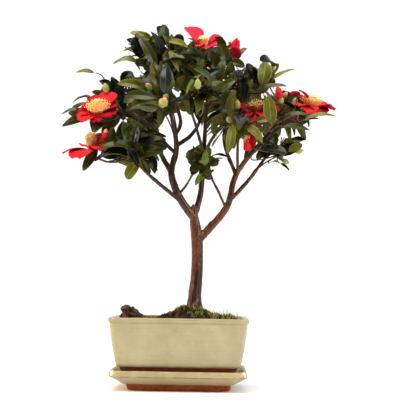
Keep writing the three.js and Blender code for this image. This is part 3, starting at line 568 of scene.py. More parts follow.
# Moss
# Cushions of living moss round the trunk's foot and in patches on the soil: low mounds covered with
# short leafy stems, with thin spore stalks at the right.
MOSS_RING = {"radius": 14.6, "width": 6, "height": 5.6}
MOSS_PATCHES = [
    (2, -10, 10, 4), (18, -24, 9, 2), (40, -20, 8, 3), (50, -30, 10, 3.5), (62, -20, 8, 3), (-32, -36, 9, 2.5),
    (-34, 12, 10, 3), (40, 22, 12, 3), (4, 30, 12, 3), (58, 34, 9, 2), (-56, 30, 9, 2), (-14, 42, 8, 2)]
MOSS_STEMS = 5600
STEM_LENGTHS = ((1, 2.4), (1.6, 3.8))
STEM_WIDTHS = (0.35, 0.65)
TUFT_SHARES = ((0.12, 0.44, 0.44), (0.74, 0.2, 0.06))
TUFTS_ABOVE = 0.02
TALL_MOSS = {"right_of": 34, "stretch": 1.4}
SPORE_STALKS = 54
STALK_FIELD = ((33, 69), (-42, -4))
STALK_LENGTHS = (6, 16)
STALK_WIDTH = 0.34
THREE_SIDES = (0, 2.094, 4.189)
moss_dice = np.random.default_rng(11)

moss = basic_shape("moss_cushion", bpy.ops.mesh.primitive_torus_add, major_segments=96, minor_segments=28,
                   major_radius=MOSS_RING["radius"] * MM, minor_radius=MOSS_RING["width"] * MM)


def moss_swell(x, y):
    """How high the cushion stands at a place, as a share: most at the left and front."""
    fullness = 0.62 - 0.46 * (0.85 * x + 0.5 * y) / max(math.hypot(x, y), 0.01)
    return fullness + 0.5 * noise.noise((x * 0.1, y * 0.1, 5)) + 0.16 * noise.noise((x * 0.33, y * 0.33, 9))


for vert in moss.data.vertices:
    x, y, z = vert.co / MM
    swell = moss_swell(x, y)
    squeeze = 1 + 0.12 * noise.noise((x * 0.14, y * 0.14, 2))
    height = MOSS_RING["height"] * swell * (0.55 + 0.55 * z / MOSS_RING["width"]) - 1.5
    x, y = TRUNK_LINE[0][0] + x * squeeze, TRUNK_LINE[0][1] + y * squeeze
    vert.co = Vector((x, y, soil_height(x, y) + height)) * MM
bpy.ops.object.shade_smooth()
moss.data.materials.append(plain_material(
    "moss_mound", [(0.006, 0.006, 0.002), (0.022, 0.024, 0.006), (0.08, 0.085, 0.016)], 220, 0.95, 0.9))
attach(moss, "root")
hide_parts("moss_collar")

moss_points, moss_faces, moss_kinds = [], [], []


def unit(direction):
    """A direction as a vector of length one."""
    return direction / np.linalg.norm(direction)


def around(first, second, turn):
    """The direction at a turn that starts at a first direction and goes towards a second one, square to it."""
    return first * math.cos(turn) + second * math.sin(turn)


def moss_stem(place, lean, length, width, kind):
    """A leafy moss stem: a slim spike of three sides."""
    lean = unit(lean)
    side = unit(np.cross(lean, (0.3, 0.9, 0.1)))
    across = np.cross(lean, side)
    first = len(moss_points)
    for turn in THREE_SIDES:
        moss_points.append(place + around(side, across, turn) * width)
    moss_points.append(place + lean * length)
    moss_faces.extend([(first, first + 1, first + 3), (first + 1, first + 2, first + 3), (first + 2, first, first + 3),
                       (first, first + 2, first + 1)])
    moss_kinds.extend([kind] * 4)


ring_tops = [(vert.co / MM, vert.normal) for vert in moss.data.vertices if vert.normal.z > -0.1]
for number in range(MOSS_STEMS):
    if number % 2:
        place, normal = ring_tops[moss_dice.integers(len(ring_tops))]
        place = np.array(place) + moss_dice.uniform(-1.1, 1.1, 3) * (1, 1, 0.3)
        lean = np.array(normal) + moss_dice.normal(0, 0.45, 3) + (0, 0, 0.5)
    else:
        x, y, size, rise = MOSS_PATCHES[moss_dice.integers(len(MOSS_PATCHES))]
        turn, out = moss_dice.uniform(0, 2 * math.pi), math.sqrt(moss_dice.random())
        spot = (x + math.cos(turn) * out * size, y + math.sin(turn) * out * size * 0.75)
        if abs(spot[0]) > SOIL_OPEN[0] or abs(spot[1]) > SOIL_OPEN[1]:
            continue
        place = np.array((*spot, soil_height(*spot) + rise * (1 - out ** 2) * 0.6 - 0.3))
        lean = np.array((math.cos(turn) * out * 0.5, math.sin(turn) * out * 0.5, 1)) + moss_dice.normal(0, 0.35, 3)
    x, y = place[:2]
    tuft = int(noise.noise((x * 0.22, y * 0.22, 4)) + 0.4 * noise.noise((x * 0.55, y * 0.55, 8)) > TUFTS_ABOVE)
    length = moss_dice.uniform(*STEM_LENGTHS[tuft])
    if x > TALL_MOSS["right_of"] and y < 0:
        length *= TALL_MOSS["stretch"]
    moss_stem(place, lean, length, moss_dice.uniform(*STEM_WIDTHS), int(moss_dice.choice(3, p=TUFT_SHARES[tuft])))
for _ in range(SPORE_STALKS):
    spot = [moss_dice.uniform(*field) for field in STALK_FIELD]
    place = np.array((*spot, soil_height(*spot)))
    lean = np.array((moss_dice.normal(0.15, 0.3), moss_dice.normal(0, 0.25), 1))
    moss_stem(place, lean, moss_dice.uniform(*STALK_LENGTHS), STALK_WIDTH, 3)
moss_stems = joined_piece("moss_stems", moss_points, moss_faces, moss_kinds, [
    plain_material("moss_fresh", [(0.3, 0.3, 0.06), (0.54, 0.53, 0.17)], 200, 0.8),
    plain_material("moss_green", [(0.022, 0.028, 0.005), (0.075, 0.09, 0.017)], 200, 0.8),
    plain_material("moss_dry", [(0.03, 0.02, 0.008), (0.11, 0.08, 0.03)], 200, 0.85),
    plain_material("spore_stalk", [(0.42, 0.36, 0.2), (0.6, 0.55, 0.36)], 200, 0.8)])


# Foliage
# Shoots that branch from each bough's tip, finer twigs on them, and thick glossy leaves with a sunken
# midrib and paler undersides. Each mass keeps to its own space round its heart.
MASSES = [dict(zip(("name", "bough", "heart", "reach", "shoots", "seed", "fine_seed", "leaf_size"), row)) for row in (
    ("foliage_left_low", "bough_left_low", (-65, -42, 277), (64, 46, 38), 9, 484, 50, 1),
    ("foliage_left_upper", "bough_left_outer", (-73, 25, 360), (58, 50, 45), 6, 393, 7, 1),
    ("foliage_left", "bough_left_side", (-93, -35, 322), (50, 42, 36), 6, 450, 26, 1),
    ("foliage_front_left", "bough_left", (-25, -72, 335), (48, 45, 42), 6, 2, 37, 1),
    ("foliage_top_left", "bough_left_up", (-30, 0, 391), (50, 48, 52), 6, 180, 37, 1),
    ("foliage_back_left", "bough_left_back", (-46, 64, 348), (58, 48, 52), 6, 132, 14, 1),
    ("foliage_top_back", "bough_cross", (14, 60, 388), (52, 48, 52), 6, 200, 11, 1),
    ("foliage_top", "bough_centre", (26, -5, 390), (48, 45, 52), 6, 334, 1, 1),
    ("foliage_front", "bough_centre_front", (16, -72, 339), (42, 42, 42), 6, 48, 1, 1),
    ("foliage_back_right", "bough_centre_back", (60, 70, 355), (55, 48, 50), 6, 66, 19, 1),
    ("foliage_right", "bough_right", (140, -25, 326), (58, 48, 36), 6, 281, 33, 1),
    ("foliage_right_upper", "bough_right_up", (82, -12, 367), (52, 45, 45), 6, 538, 20, 1),
    ("foliage_front_right", "bough_right_front", (66, -64, 308), (46, 42, 44), 6, 304, 18, 1),
    ("foliage_right_rear", "bough_right_back", (113, 48, 343), (55, 50, 48), 6, 340, 33, 1),
    ("foliage_right_low", "bough_right_low", (115, 20, 286), (45, 42, 37), 6, 31, 14, 1),
    ("foliage_inner_left", "bough_twig_left", (21, -28, 262), (24, 26, 28), 3, 3, 38, 0.55),
    ("foliage_inner_right", "bough_twig_right", (37, -16, 257), (20, 20, 20), 1, 461, 44, 0.5),
)]
FLOWERS = [dict(zip(("mass", "at", "facing", "size"), row)) for row in (
    ("foliage_left", (-95, -54, 318), (-0.1, -0.62, 0.78), 1),
    ("foliage_left_low", (-104, -52, 277), (0, -0.12, 1), 1),
    ("foliage_top", (23, -10, 408), (0, -0.12, 1), 1),
    ("foliage_top", (51, 6, 404), (0.88, 0.3, 0.35), 0.8),
    ("foliage_right", (151, -26, 332), (0.08, -0.28, 0.95), 1),
    ("foliage_front_right", (86, -46, 324), (-0.1, -0.4, 0.9), 1),
    ("foliage_front_right", (72, -62, 289), (0.75, 0.55, -0.2), 0.55),
    ("foliage_left_upper", (-90, 56, 358), (-0.4, 0.8, 0.4), 0.9),
    ("foliage_back_left", (-50, 98, 352), (-0.2, 0.9, 0.36), 1),
    ("foliage_top_back", (12, 88, 402), (0, 0.75, 0.65), 1),
    ("foliage_back_right", (76, 102, 358), (0.2, 0.9, 0.4), 1),
    ("foliage_right_rear", (130, 80, 347), (0.4, 0.8, 0.45), 1),
)]
# Leaves that stand out of the crown's outline or before it, as (mass, root, tip, slimness, tint).
OUTER_LEAVES = [
    ("foliage_left_upper", (-108, 2, 376), (-131, -4, 376), 0.3, "leaves_olive"),
    ("foliage_left", (-112, -30, 320), (-140, -44, 322), 0.34, "leaves_green"),
    ("foliage_left", (-107, -34, 318), (-138, -50, 303), 0.32, "leaves_green"),
    ("foliage_left_low", (-95, -58, 278), (-109, -66, 247), 0.34, "leaves_green"),
    ("foliage_left_low", (-62, -74, 264), (-96, -84, 260), 0.42, "leaves_deep"),
    ("foliage_left_low", (-46, -70, 260), (-62, -78, 240), 0.5, "leaves_olive"),
    ("foliage_left_low", (-44, -72, 274), (-15, -92, 281), 0.42, "leaves_deep"),
    ("foliage_top_left", (-31, -38, 376), (-30, -46, 416), 0.5, "leaves_deep"),
    ("foliage_top_left", (-30, -24, 397), (-23, -28, 429), 0.5, "leaves_green"),
    ("foliage_top_left", (-51, -36, 384), (-58, -42, 410), 0.55, "leaves_deep"),
    ("foliage_top_left", (-29, -42, 366), (-48, -50, 409), 0.28, "leaves_green"),
    ("foliage_top_left", (-39, -10, 415), (-55, -18, 422), 0.42, "leaves_olive"),
    ("foliage_top_left", (-52, -28, 382), (-83, -38, 381), 0.44, "leaves_olive"),
    ("foliage_top", (8, -28, 400), (-17, -38, 408), 0.34, "leaves_olive"),
    ("foliage_top_left", (-28, -40, 378), (2, -56, 385), 0.36, "leaves_green"),
    ("foliage_front_left", (-19, -96, 327), (-17, -100, 365), 0.42, "leaves_blue_sheen"),
    ("foliage_front_left", (-23, -100, 325), (-60, -108, 328), 0.34, "leaves_green"),
    ("foliage_front_left", (-18, -96, 314), (8, -106, 328), 0.44, "leaves_deep"),
    ("foliage_front_left", (-22, -96, 315), (-56, -106, 316), 0.32, "leaves_green"),
    ("foliage_left", (-49, -66, 302), (-53, -72, 270), 0.42, "leaves_blue_sheen"),
    ("foliage_right_upper", (91, -46, 350), (94, -52, 380), 0.6, "leaves_olive"),
    ("foliage_right_upper", (98, -44, 356), (128, -56, 373), 0.18, "leaves_olive"),
    ("foliage_right_upper", (89, -42, 353), (72, -50, 376), 0.46, "leaves_deep"),
    ("foliage_right_upper", (84, -48, 346), (119, -62, 348), 0.22, "leaves_green"),
    ("foliage_right", (137, -52, 310), (178, -58, 314), 0.28, "leaves_olive"),
    ("foliage_right", (112, -54, 307), (146, -60, 316), 0.3, "leaves_green"),
    ("foliage_right", (104, -56, 297), (147, -64, 299), 0.24, "leaves_green"),
    ("foliage_front_right", (103, -76, 298), (101, -84, 334), 0.42, "leaves_olive"),
    ("foliage_front_right", (58, -92, 303), (56, -96, 265), 0.32, "leaves_olive"),
    ("foliage_front_right", (70, -88, 299), (93, -98, 280), 0.44, "leaves_olive"),
    ("foliage_front", (30, -98, 326), (9, -106, 351), 0.42, "leaves_deep"),
    ("foliage_front", (34, -96, 331), (58, -104, 349), 0.4, "leaves_green"),
    ("foliage_right_low", (116, -2, 268), (127, -6, 258), 0.32, "leaves_deep"),
    ("foliage_left_upper", (-84, -6, 348), (-100, -16, 364), 0.44, "leaves_deep"),
    ("foliage_left_upper", (-71, -4, 344), (-87, -14, 368), 0.44, "leaves_deep"),
    ("foliage_left_upper", (-70, 4, 359), (-44, -12, 363), 0.4, "leaves_olive"),
    ("foliage_top", (53, -28, 380), (42, -36, 404), 0.5, "leaves_green"),
    ("foliage_top", (64, 40, 405), (75, 42, 421), 0.5, "leaves_green"),
    ("foliage_top", (27, -30, 386), (-1, -40, 396), 0.42, "leaves_deep"),
    ("foliage_top_left", (-51, -24, 373), (-64, -30, 392), 0.24, "leaves_olive"),
    ("foliage_top_left", (-27, -40, 381), (1, -48, 397), 0.26, "leaves_deep"),
    ("foliage_top_left", (-27, -42, 371), (-8, -52, 391), 0.48, "leaves_green"),
    ("foliage_top_left", (-18, -46, 394), (-2, -58, 367), 0.34, "leaves_olive"),
    ("foliage_front_left", (-23, -76, 371), (-5, -88, 341), 0.26, "leaves_olive"),
    ("foliage_front_left", (-18, -88, 331), (-18, -84, 367), 0.4, "leaves_deep"),
    ("foliage_front_left", (-25, -80, 332), (-40, -74, 359), 0.3, "leaves_green"),
    ("foliage_top_left", (-25, -52, 358), (-38, -48, 385), 0.26, "leaves_green"),
    ("foliage_left_upper", (-38, -46, 342), (-73, -60, 352), 0.3, "leaves_olive"),
    ("foliage_left", (-66, -46, 319), (-75, -50, 350), 0.36, "leaves_deep"),
    ("foliage_top", (27, -34, 377), (9, -42, 399), 0.36, "leaves_green"),
    ("foliage_top", (49, -16, 385), (72, -26, 381), 0.42, "leaves_green"),
    ("foliage_top", (41, -44, 356), (46, -50, 382), 0.38, "leaves_green"),
    ("foliage_front", (5, -96, 327), (23, -92, 358), 0.2, "leaves_young"),
    ("foliage_front", (19, -92, 338), (45, -104, 326), 0.46, "leaves_deep"),
    ("foliage_right_upper", (66, -34, 363), (87, -44, 370), 0.58, "leaves_deep"),
    ("foliage_right_upper", (74, -56, 330), (70, -60, 354), 0.42, "leaves_deep"),
    ("foliage_right_upper", (75, -58, 334), (79, -62, 357), 0.36, "leaves_green"),
    ("foliage_front_right", (63, -72, 316), (61, -76, 334), 0.48, "leaves_olive"),
    ("foliage_front_right", (46, -64, 319), (53, -70, 343), 0.4, "leaves_green"),
    ("foliage_right", (117, -22, 339), (140, -32, 321), 0.4, "leaves_deep"),
    ("foliage_right_low", (86, -44, 276), (104, -50, 293), 0.55, "leaves_blue_sheen"),
    ("foliage_right_low", (93, -46, 278), (121, -54, 273), 0.55, "leaves_blue_sheen"),
    ("foliage_right_low", (93, -40, 276), (89, -44, 266), 0.7, "leaves_green"),
    ("foliage_right_low", (105, 0, 268), (116, -4, 269), 0.3, "leaves_young"),
    ("foliage_right_low", (123, -4, 291), (146, -12, 297), 0.26, "leaves_deep"),
    ("foliage_right_low", (124, -24, 278), (138, -30, 287), 0.6, "leaves_olive"),
    ("foliage_front_right", (84, -86, 308), (62, -94, 292), 0.46, "leaves_green"),
    ("foliage_left_low", (-86, -60, 303), (-101, -70, 293), 0.6, "leaves_green"),
    ("foliage_left_low", (-67, -64, 308), (-60, -70, 280), 0.34, "leaves_green"),
    ("foliage_left_low", (-55, -76, 268), (-87, -88, 275), 0.28, "leaves_green"),
    ("foliage_left_low", (-61, -76, 274), (-46, -84, 252), 0.4, "leaves_deep"),
    ("foliage_left_low", (-38, -48, 272), (-30, -56, 248), 0.4, "leaves_deep"),
    ("foliage_left", (-74, -58, 310), (-83, -64, 294), 0.46, "leaves_green"),
    ("foliage_back_left", (-60, 58, 343), (-33, 62, 334), 0.5, "leaves_deep"),
    ("foliage_back_left", (-58, 56, 332), (-33, 60, 324), 0.5, "leaves_deep"),
    ("foliage_front_left", (-24, -62, 317), (-46, -66, 308), 0.44, "leaves_deep"),
    ("foliage_inner_left", (26, -44, 265), (7, -50, 267), 0.5, "leaves_green"),
    ("foliage_inner_left", (27, -46, 256), (29, -52, 276), 0.44, "leaves_young"),
    ("foliage_inner_right", (32, -30, 270), (54, -36, 270), 0.2, "leaves_deep"),
    ("foliage_inner_left", (28, -42, 260), (45, -48, 264), 0.42, "leaves_green"),
    ("foliage_inner_left", (29, -45, 258), (9, -51, 253), 0.52, "leaves_green"),
    ("foliage_inner_left", (24, -45, 257), (34, -50, 248), 0.6, "leaves_green"),
    ("foliage_inner_left", (27, -42, 250), (17, -48, 236), 0.46, "leaves_young"),
    ("foliage_inner_left", (28, -38, 262), (13, -42, 261), 0.55, "leaves_deep"),
]
# Gaps in the crown where the sky shows from the front, as (x, z, radius) in the plane of the trunk.
SKY_GAPS = np.array([
    (-97, 367, 20), (-76, 390, 12), (83, 396, 13), (118, 373, 12), (121, 354, 11), (106, 355, 6), (141, 278, 11),
    (-90, 264, 11), (131, 326, 7), (160, 316, 6), (190, 322, 22), (138, 364, 14), (131, 267, 11), (103, 266, 7),
    (-16, 323, 8), (-2, 322, 8), (7, 325, 7), (-22, 309, 7), (-21, 293, 7), (-20, 270, 7), (-30, 264, 6),
    (7, 312, 7), (-56, 373, 6), (-46, 379, 5), (95, 352, 7), (107, 353, 5), (93, 314, 5), (39, 258, 7),
    (48, 266, 4), (38, 274, 3), (35, 283, 4), (12, 249, 4), (7, 277, 4), (114, 298, 6), (122, 295, 4),
    (135, 301, 4), (117, 272, 3), (113, 262, 5), (122, 271, 4), (72, 292, 5), (-41, 435, 5), (-17, 429, 6),
    (-73, 412, 7), (-71, 400, 4), (-49, 435, 5), (-29, 441, 5), (-12, 424, 4), (-70, 417, 4),
    (-18, 435, 4)], dtype=float)
FRONT_EYE = np.array((40.1, -1149.3, 117.7))
TREE_FORK = np.array((16.0, 0, 235))
GOLDEN_TURN = math.pi * (3 - math.sqrt(5))
CLEARANCE = 0.3
SHOOT_RADII = (0.7, 1.5, 1.2)
BUD_EVERY = 3
LEAF_LENGTHS = (38, 50)
LEAF_SLIMNESS = 0.4
LEAVES_A_SHOOT = 5
LEAF_ROWS = 3
LEAF_TRIES = 8
LEAF_SHRINK = 0.05
FLOWER_GUARDS = (21, 30)
FLOWER_VIEW = 18
OUTER_VIEW = 6
BOSS_HEIGHT = 13
CELL_MARGIN = 1.04
LIMB_MARGIN = 1.2
SHOOT_MARGIN = 0.4
FINE_TWIGS = (0.9, 0.6, 0.35)
FINE_TWIG_LENGTHS = (8, 22)
FINE_TWIG_TRIES = 4
FINE_TWIG_MARGIN = 1.6
FINE_LEAVES = 3
FINE_LEAF_SIZE = 0.94
FINE_TRIES = 9
FINE_SHRINK = 0.035

hearts = np.array([mass["heart"] for mass in MASSES], dtype=float)
reaches = np.array([mass["reach"] for mass in MASSES], dtype=float)
growth_limbs = limb_lines(GROWTH_STEPS)


def seeded_stream(seed):
    """Numbers from 0 to 1, the same for the same seed."""
    state = seed
    while True:
        state = (state + 0x6D2B79F5) & 0xFFFFFFFF
        mixed = ((state ^ (state >> 15)) * (state | 1)) & 0xFFFFFFFF
        mixed ^= (mixed + ((mixed ^ (mixed >> 7)) * (mixed | 61))) & 0xFFFFFFFF
        yield ((mixed ^ (mixed >> 14)) & 0xFFFFFFFF) / 4294967296


def between(first, last, share):
    """The value at a share of the way from a first to a last one."""
    return first + (last - first) * share


def stretches(lines):
    """The straight stretches of limbs given as (line, radii): their ends, and the radii there."""
    starts = np.concatenate([line[:-1] for line, _ in lines])
    stops = np.concatenate([line[1:] for line, _ in lines])
    start_radii = np.concatenate([np.asarray(radii)[:-1] for _, radii in lines])
    stop_radii = np.concatenate([np.asarray(radii)[1:] for _, radii in lines])
    return starts, stops, start_radii, stop_radii


def stretch_gaps(begin, end, starts, stops):
    """Shortest distances from one stretch to many, and the shares of the many where they lie."""
    a, b = end - begin, stops - starts
    offset = begin - starts
    aa, bb = a @ a, np.einsum("ij,ij->i", b, b)
    ab, aw, bw = b @ a, offset @ a, np.einsum("ij,ij->i", offset, b)
    spread = aa * bb - ab * ab
    s = np.where(spread > 1e-9, np.clip((ab * bw - bb * aw) / np.where(spread > 1e-9, spread, 1), 0, 1), 0)
    t = np.clip((ab * s + bw) / bb, 0, 1)
    s = np.clip((ab * t - aw) / aa, 0, 1)
    return np.linalg.norm(offset + s[:, None] * a - t[:, None] * b, axis=1), t


def clear_of(limbs, begin, end, margin):
    """Whether a stretch keeps a margin to the limbs' skins."""
    starts, stops, start_radii, stop_radii = limbs
    gaps, shares = stretch_gaps(begin, end, starts, stops)
    return bool(np.all(gaps >= between(start_radii, stop_radii, shares) + margin))


def in_own_space(index, points):
    """Whether points lie in a mass's own space, and not nearer to another mass's heart."""
    depths = np.linalg.norm((np.atleast_2d(points)[:, None] - hearts) / reaches, axis=2)
    own = depths[:, index]
    others = np.delete(depths, index, axis=1)
    return bool(np.all(own <= 1) and np.all(others > (own * CELL_MARGIN)[:, None]))


def side_directions(axis):
    """Two directions that stand square to an axis."""
    helper = np.array((0, 0, 1.0) if abs(axis[2]) < 0.9 else (0, 1.0, 0))
    side = unit(np.cross(helper, axis))
    return side, np.cross(axis, side)


def line_frames(line):
    """Directions along a line, and side directions that don't twist on the way."""
    frames = []
    for i in range(len(line)):
        along = unit(line[min(i + 1, len(line) - 1)] - line[max(i - 1, 0)])
        before = frames[-1][1] if frames else side_directions(along)[0]
        side = unit(before - along * (before @ along))
        frames.append((along, side, np.cross(side, along)))
    return frames


def bent(start, control, tip, share):
    """The point at a share of a bend from a start to a tip that leans towards a control point."""
    return start * (1 - share) ** 2 + control * (2 * share * (1 - share)) + tip * share ** 2


def blade_corners(leaf):
    """A leaf's neck, left edge, tip and right edge."""
    middle = leaf["root"] + leaf["along"] * leaf["length"] / 2
    half = leaf["side"] * leaf["width"] / 2
    neck = leaf["root"] + leaf["along"] * leaf["length"] * 0.12
    return np.array((neck, middle + half, leaf["root"] + leaf["along"] * leaf["length"], middle - half))


def pierced(begins, ends, first, second, third):
    """Whether any of some stretches passes through any of some triangles."""
    edge, other = second - first, third - first
    run = (ends - begins)[:, None]
    square = np.cross(run, other[None])
    spread = np.einsum("tk,stk->st", edge, square)
    safe = np.where(np.abs(spread) < 1e-9, 1, spread)
    offset = begins[:, None] - first[None]
    u = np.einsum("stk,stk->st", offset, square) / safe
    turned = np.cross(offset, edge[None])
    v = np.einsum("stk,stk->st", np.broadcast_to(run, turned.shape), turned) / safe
    share = np.einsum("tk,stk->st", other, turned) / safe
    hit = (np.abs(spread) >= 1e-9) & (u >= 0) & (u <= 1) & (v >= 0) & (u + v <= 1) & (share >= 0) & (share <= 1)
    return bool(hit.any())


def blades_cross(blade, blades):
    """Whether a blade cuts through any of the blades that have grown."""
    if not len(blades):
        return False
    edges_end = np.roll(blade, 1, axis=0)
    grown = np.asarray(blades)
    halves = [np.concatenate([grown[:, 0], grown[:, 0]]), np.concatenate([grown[:, 1], grown[:, 2]]),
              np.concatenate([grown[:, 2], grown[:, 3]])]
    if pierced(blade, edges_end, *halves):
        return True
    own = [blade[[0, 0]], blade[[1, 2]], blade[[2, 3]]]
    return pierced(grown.reshape(-1, 3), np.roll(grown, 1, axis=1).reshape(-1, 3), *own)


flower_base = np.array([flower["at"] for flower in FLOWERS], dtype=float)
flower_facing = np.array([unit(np.array(flower["facing"], dtype=float)) for flower in FLOWERS])
flower_middle = flower_base + flower_facing * BOSS_HEIGHT / 2
flower_size = np.array([flower["size"] for flower in FLOWERS])
limb_stretches = stretches(list(growth_limbs.values()))


def leaf_fits(index, leaf, blades, shoots):
    """Whether a leaf keeps to its mass's space, clear of limbs, flowers, shoots and other leaves."""
    blade = blade_corners(leaf)
    neck, left, tip, right = blade
    ahead = leaf["root"] + leaf["along"] * leaf["length"] * 0.75
    quarter = leaf["side"] * leaf["width"] / 4
    if not in_own_space(index, (tip, left, right, ahead + quarter, ahead - quarter)):
        return False
    own = np.array([flower["mass"] == MASSES[index]["name"] for flower in FLOWERS])
    guards = np.where(own, *FLOWER_GUARDS) * flower_size
    if np.any(stretch_gaps(neck, tip, flower_middle, flower_base)[0] < guards):
        return False
    if blades_cross(blade, blades):
        return False
    return all(clear_of(limb_stretches, a, b, LIMB_MARGIN) and clear_of(shoots, a, b, SHOOT_MARGIN)
               for a, b in ((neck, tip), (left, right)))


def seen_from_front(points):
    """Where points appear in the plane of the trunk, seen from the front, as (x, z)."""
    depth = FRONT_EYE[1] / (FRONT_EYE[1] - points[:, 1:2])
    return (FRONT_EYE + (points - FRONT_EYE) * depth)[:, [0, 2]]


outer_points = np.concatenate([
    between(np.array(root, dtype=float), np.array(tip, dtype=float), np.linspace(0.1, 0.9, 5)[:, None])
    for _, root, tip, _, _ in OUTER_LEAVES])
outer_seen = seen_from_front(outer_points)


def front_gaps(leaf, shares, places):
    """Points at shares of a leaf's midrib, and how far from places each appears, seen from the front."""
    points = leaf["root"] + np.outer(shares, leaf["along"]) * leaf["length"]
    offset = seen_from_front(points)[:, None] - places
    return points, np.hypot(offset[..., 0], offset[..., 1])


def hides_flower(leaf):
    """Whether a leaf stands before a flower that opens to the front, and hides most of it."""
    points, gaps = front_gaps(leaf, (0.25, 0.45, 0.65, 0.85), seen_from_front(flower_middle))
    before = (gaps < FLOWER_VIEW * flower_size) & (points[:, None, 1] < flower_middle[:, 1])
    return bool(np.any((before.sum(axis=0) >= 2) & (flower_facing[:, 1] < 0)))


def fills_gap(leaf):
    """Whether a leaf, seen from the front, stands in a gap where the sky shows."""
    _, gaps = front_gaps(leaf, (0.35, 0.6, 0.85), SKY_GAPS[:, :2])
    return bool(np.any(gaps < SKY_GAPS[:, 2]))


def hides_outer_leaf(leaf):
    """Whether a leaf stands before one of the outer leaves and hides it from the front."""
    points, gaps = front_gaps(leaf, (0.2, 0.4, 0.6, 0.8, 0.95), outer_seen)
    before = (gaps < OUTER_VIEW) & (points[:, None, 1] < outer_points[:, 1])
    return bool(before.any(axis=1).sum() >= 3)


def keeps_front_open(leaf):
    """Whether a leaf leaves the front's flowers, outer leaves and gaps in view."""
    return not hides_flower(leaf) and not fills_gap(leaf) and not hides_outer_leaf(leaf)


def leaf_aim(ahead, out, tilt):
    """A leaf's directions along its midrib, across it and up from its face."""
    along = around(ahead, out, tilt)
    along[2] -= 0.1
    along = unit(along)
    up = ahead - out * 0.2
    up[2] += 0.5
    up = unit(up - along * (up @ along))
    return along, np.cross(along, up), up


def leaf_settles(index, root, aim, length, spray, grown, open_front=False):
    """Whether a leaf finds room in its mass, and with an open front leaves the front in view. It then grows there."""
    along, side, up = aim
    leaf = {"root": root, "along": along, "side": side, "up": up, "length": length, "width": length * LEAF_SLIMNESS,
            "spray": spray}
    if open_front and not keeps_front_open(leaf):
        return False
    if not leaf_fits(index, leaf, grown["blades"], grown["shoot_stretches"]):
        return False
    grown["blades"].append(blade_corners(leaf))
    grown["leaves"].append(leaf)
    return True


def grow_leaf(index, shoot, rank, dice, grown):
    """The leaf of one rank on a shoot: steep at the shoot's tip, spread wide further down."""
    low = rank / (LEAVES_A_SHOOT - 1)
    root = bent(*shoot["curve"], between(0.95, 0.3, low))
    ahead, side, across = shoot["frame"]
    full = between(*LEAF_LENGTHS, next(dice)) * MASSES[index]["leaf_size"]
    for attempt in range(LEAF_TRIES):
        tilt = between(0.45, 1.3, low) + (next(dice) - 0.5) * 0.6
        turn = (rank + attempt) % LEAF_ROWS / LEAF_ROWS * 2 * math.pi + (next(dice) - 0.5) * 0.8
        aim = leaf_aim(ahead, around(across, side, turn), tilt)
        if leaf_settles(index, root, aim, full * (1 - LEAF_SHRINK * attempt), shoot["spray"], grown):
            return


def grow_fine_twig(index, shoot, share, dice, grown):
    """A finer twig from a shoot, with a few leaves at its end, where there is room left."""
    size = MASSES[index]["leaf_size"]
    root = bent(*shoot["curve"], share)
    ahead, side, across = shoot["frame"]
    for attempt in range(FINE_TWIG_TRIES):
        out = around(across, side, next(dice) * 2 * math.pi)
        heading = unit(ahead * 0.7 + out * (0.6 + 0.8 * next(dice)) + (0, 0, 0.15))
        tip = root + heading * between(*FINE_TWIG_LENGTHS, next(dice)) * size
        if in_own_space(index, tip) and clear_of(limb_stretches, between(root, tip, 0.4), tip, FINE_TWIG_MARGIN):
            break
    else:
        return
    twig_sides = side_directions(heading)
    leaves = 0
    for rank in range(FINE_LEAVES):
        low = rank / (FINE_LEAVES - 1)
        leaf_root = between(root, tip, between(0.96, 0.45, low))
        full = between(*LEAF_LENGTHS, next(dice)) * size * FINE_LEAF_SIZE
        for attempt in range(FINE_TRIES):
            tilt = between(0.4, 1.25, low) + (next(dice) - 0.5) * 0.7
            aim = leaf_aim(heading, around(*twig_sides, next(dice) * 2 * math.pi), tilt)
            if leaf_settles(index, leaf_root, aim, full * (1 - FINE_SHRINK * attempt), shoot["spray"], grown, True):
                leaves += 1
                break
    if leaves:
        grown["twigs"].append((root, between(root, tip, 0.5) - (0, 0, 0.6), tip))


def grow_mass(index):
    """The stem, shoots and leaves of one mass."""
    mass = MASSES[index]
    dice = seeded_stream(mass["seed"])
    heart = hearts[index]
    line, radii = growth_limbs[mass["bough"]]
    onward = unit(line[-1] - line[-2])
    start = line[-1] + onward * CLEARANCE
    stem = (start, start + onward * np.linalg.norm(heart - start) / 2, heart)
    grown = {"stem": stem, "stem_radius": radii[-1], "shoots": [], "twigs": [], "leaves": [], "blades": []}
    outward = unit(heart - TREE_FORK)
    side, across = side_directions(outward)
    first_turn = next(dice) * 2 * math.pi
    for i in range(mass["shoots"]):
        order = (i + 0.5) / mass["shoots"]
        rise = between(0.95, -0.45, order)
        turn = first_turn + i * GOLDEN_TURN
        aim = around(side, across, turn) * math.sqrt(1 - rise * rise) + outward * rise
        tip = heart + aim * reaches[index] * (0.3 + 0.25 * next(dice))
        root = bent(*stem, between(0.95, 0.35, order))
        sagged = (root + tip) / 2 - (0, 0, np.linalg.norm(tip - root) * 0.12)
        curve = (root, sagged, tip)
        points = np.array([bent(*curve, share) for share in (0, 0.5, 1)])
        if not in_own_space(index, points[1:]):
            continue
        if not clear_of(limb_stretches, points[1], tip, SHOOT_RADII[1] + LIMB_MARGIN):
            continue
        grown["shoots"].append({"curve": curve, "line": points, "frame": line_frames(points)[-1], "spray": (index, i),
                                "bud": unit(tip - sagged) if i % BUD_EVERY == 0 else None})
    grown["shoot_stretches"] = stretches([(shoot["line"], SHOOT_RADII) for shoot in grown["shoots"]])
    for rank in range(LEAVES_A_SHOOT):
        for shoot in grown["shoots"]:
            grow_leaf(index, shoot, rank, dice, grown)
    return grown


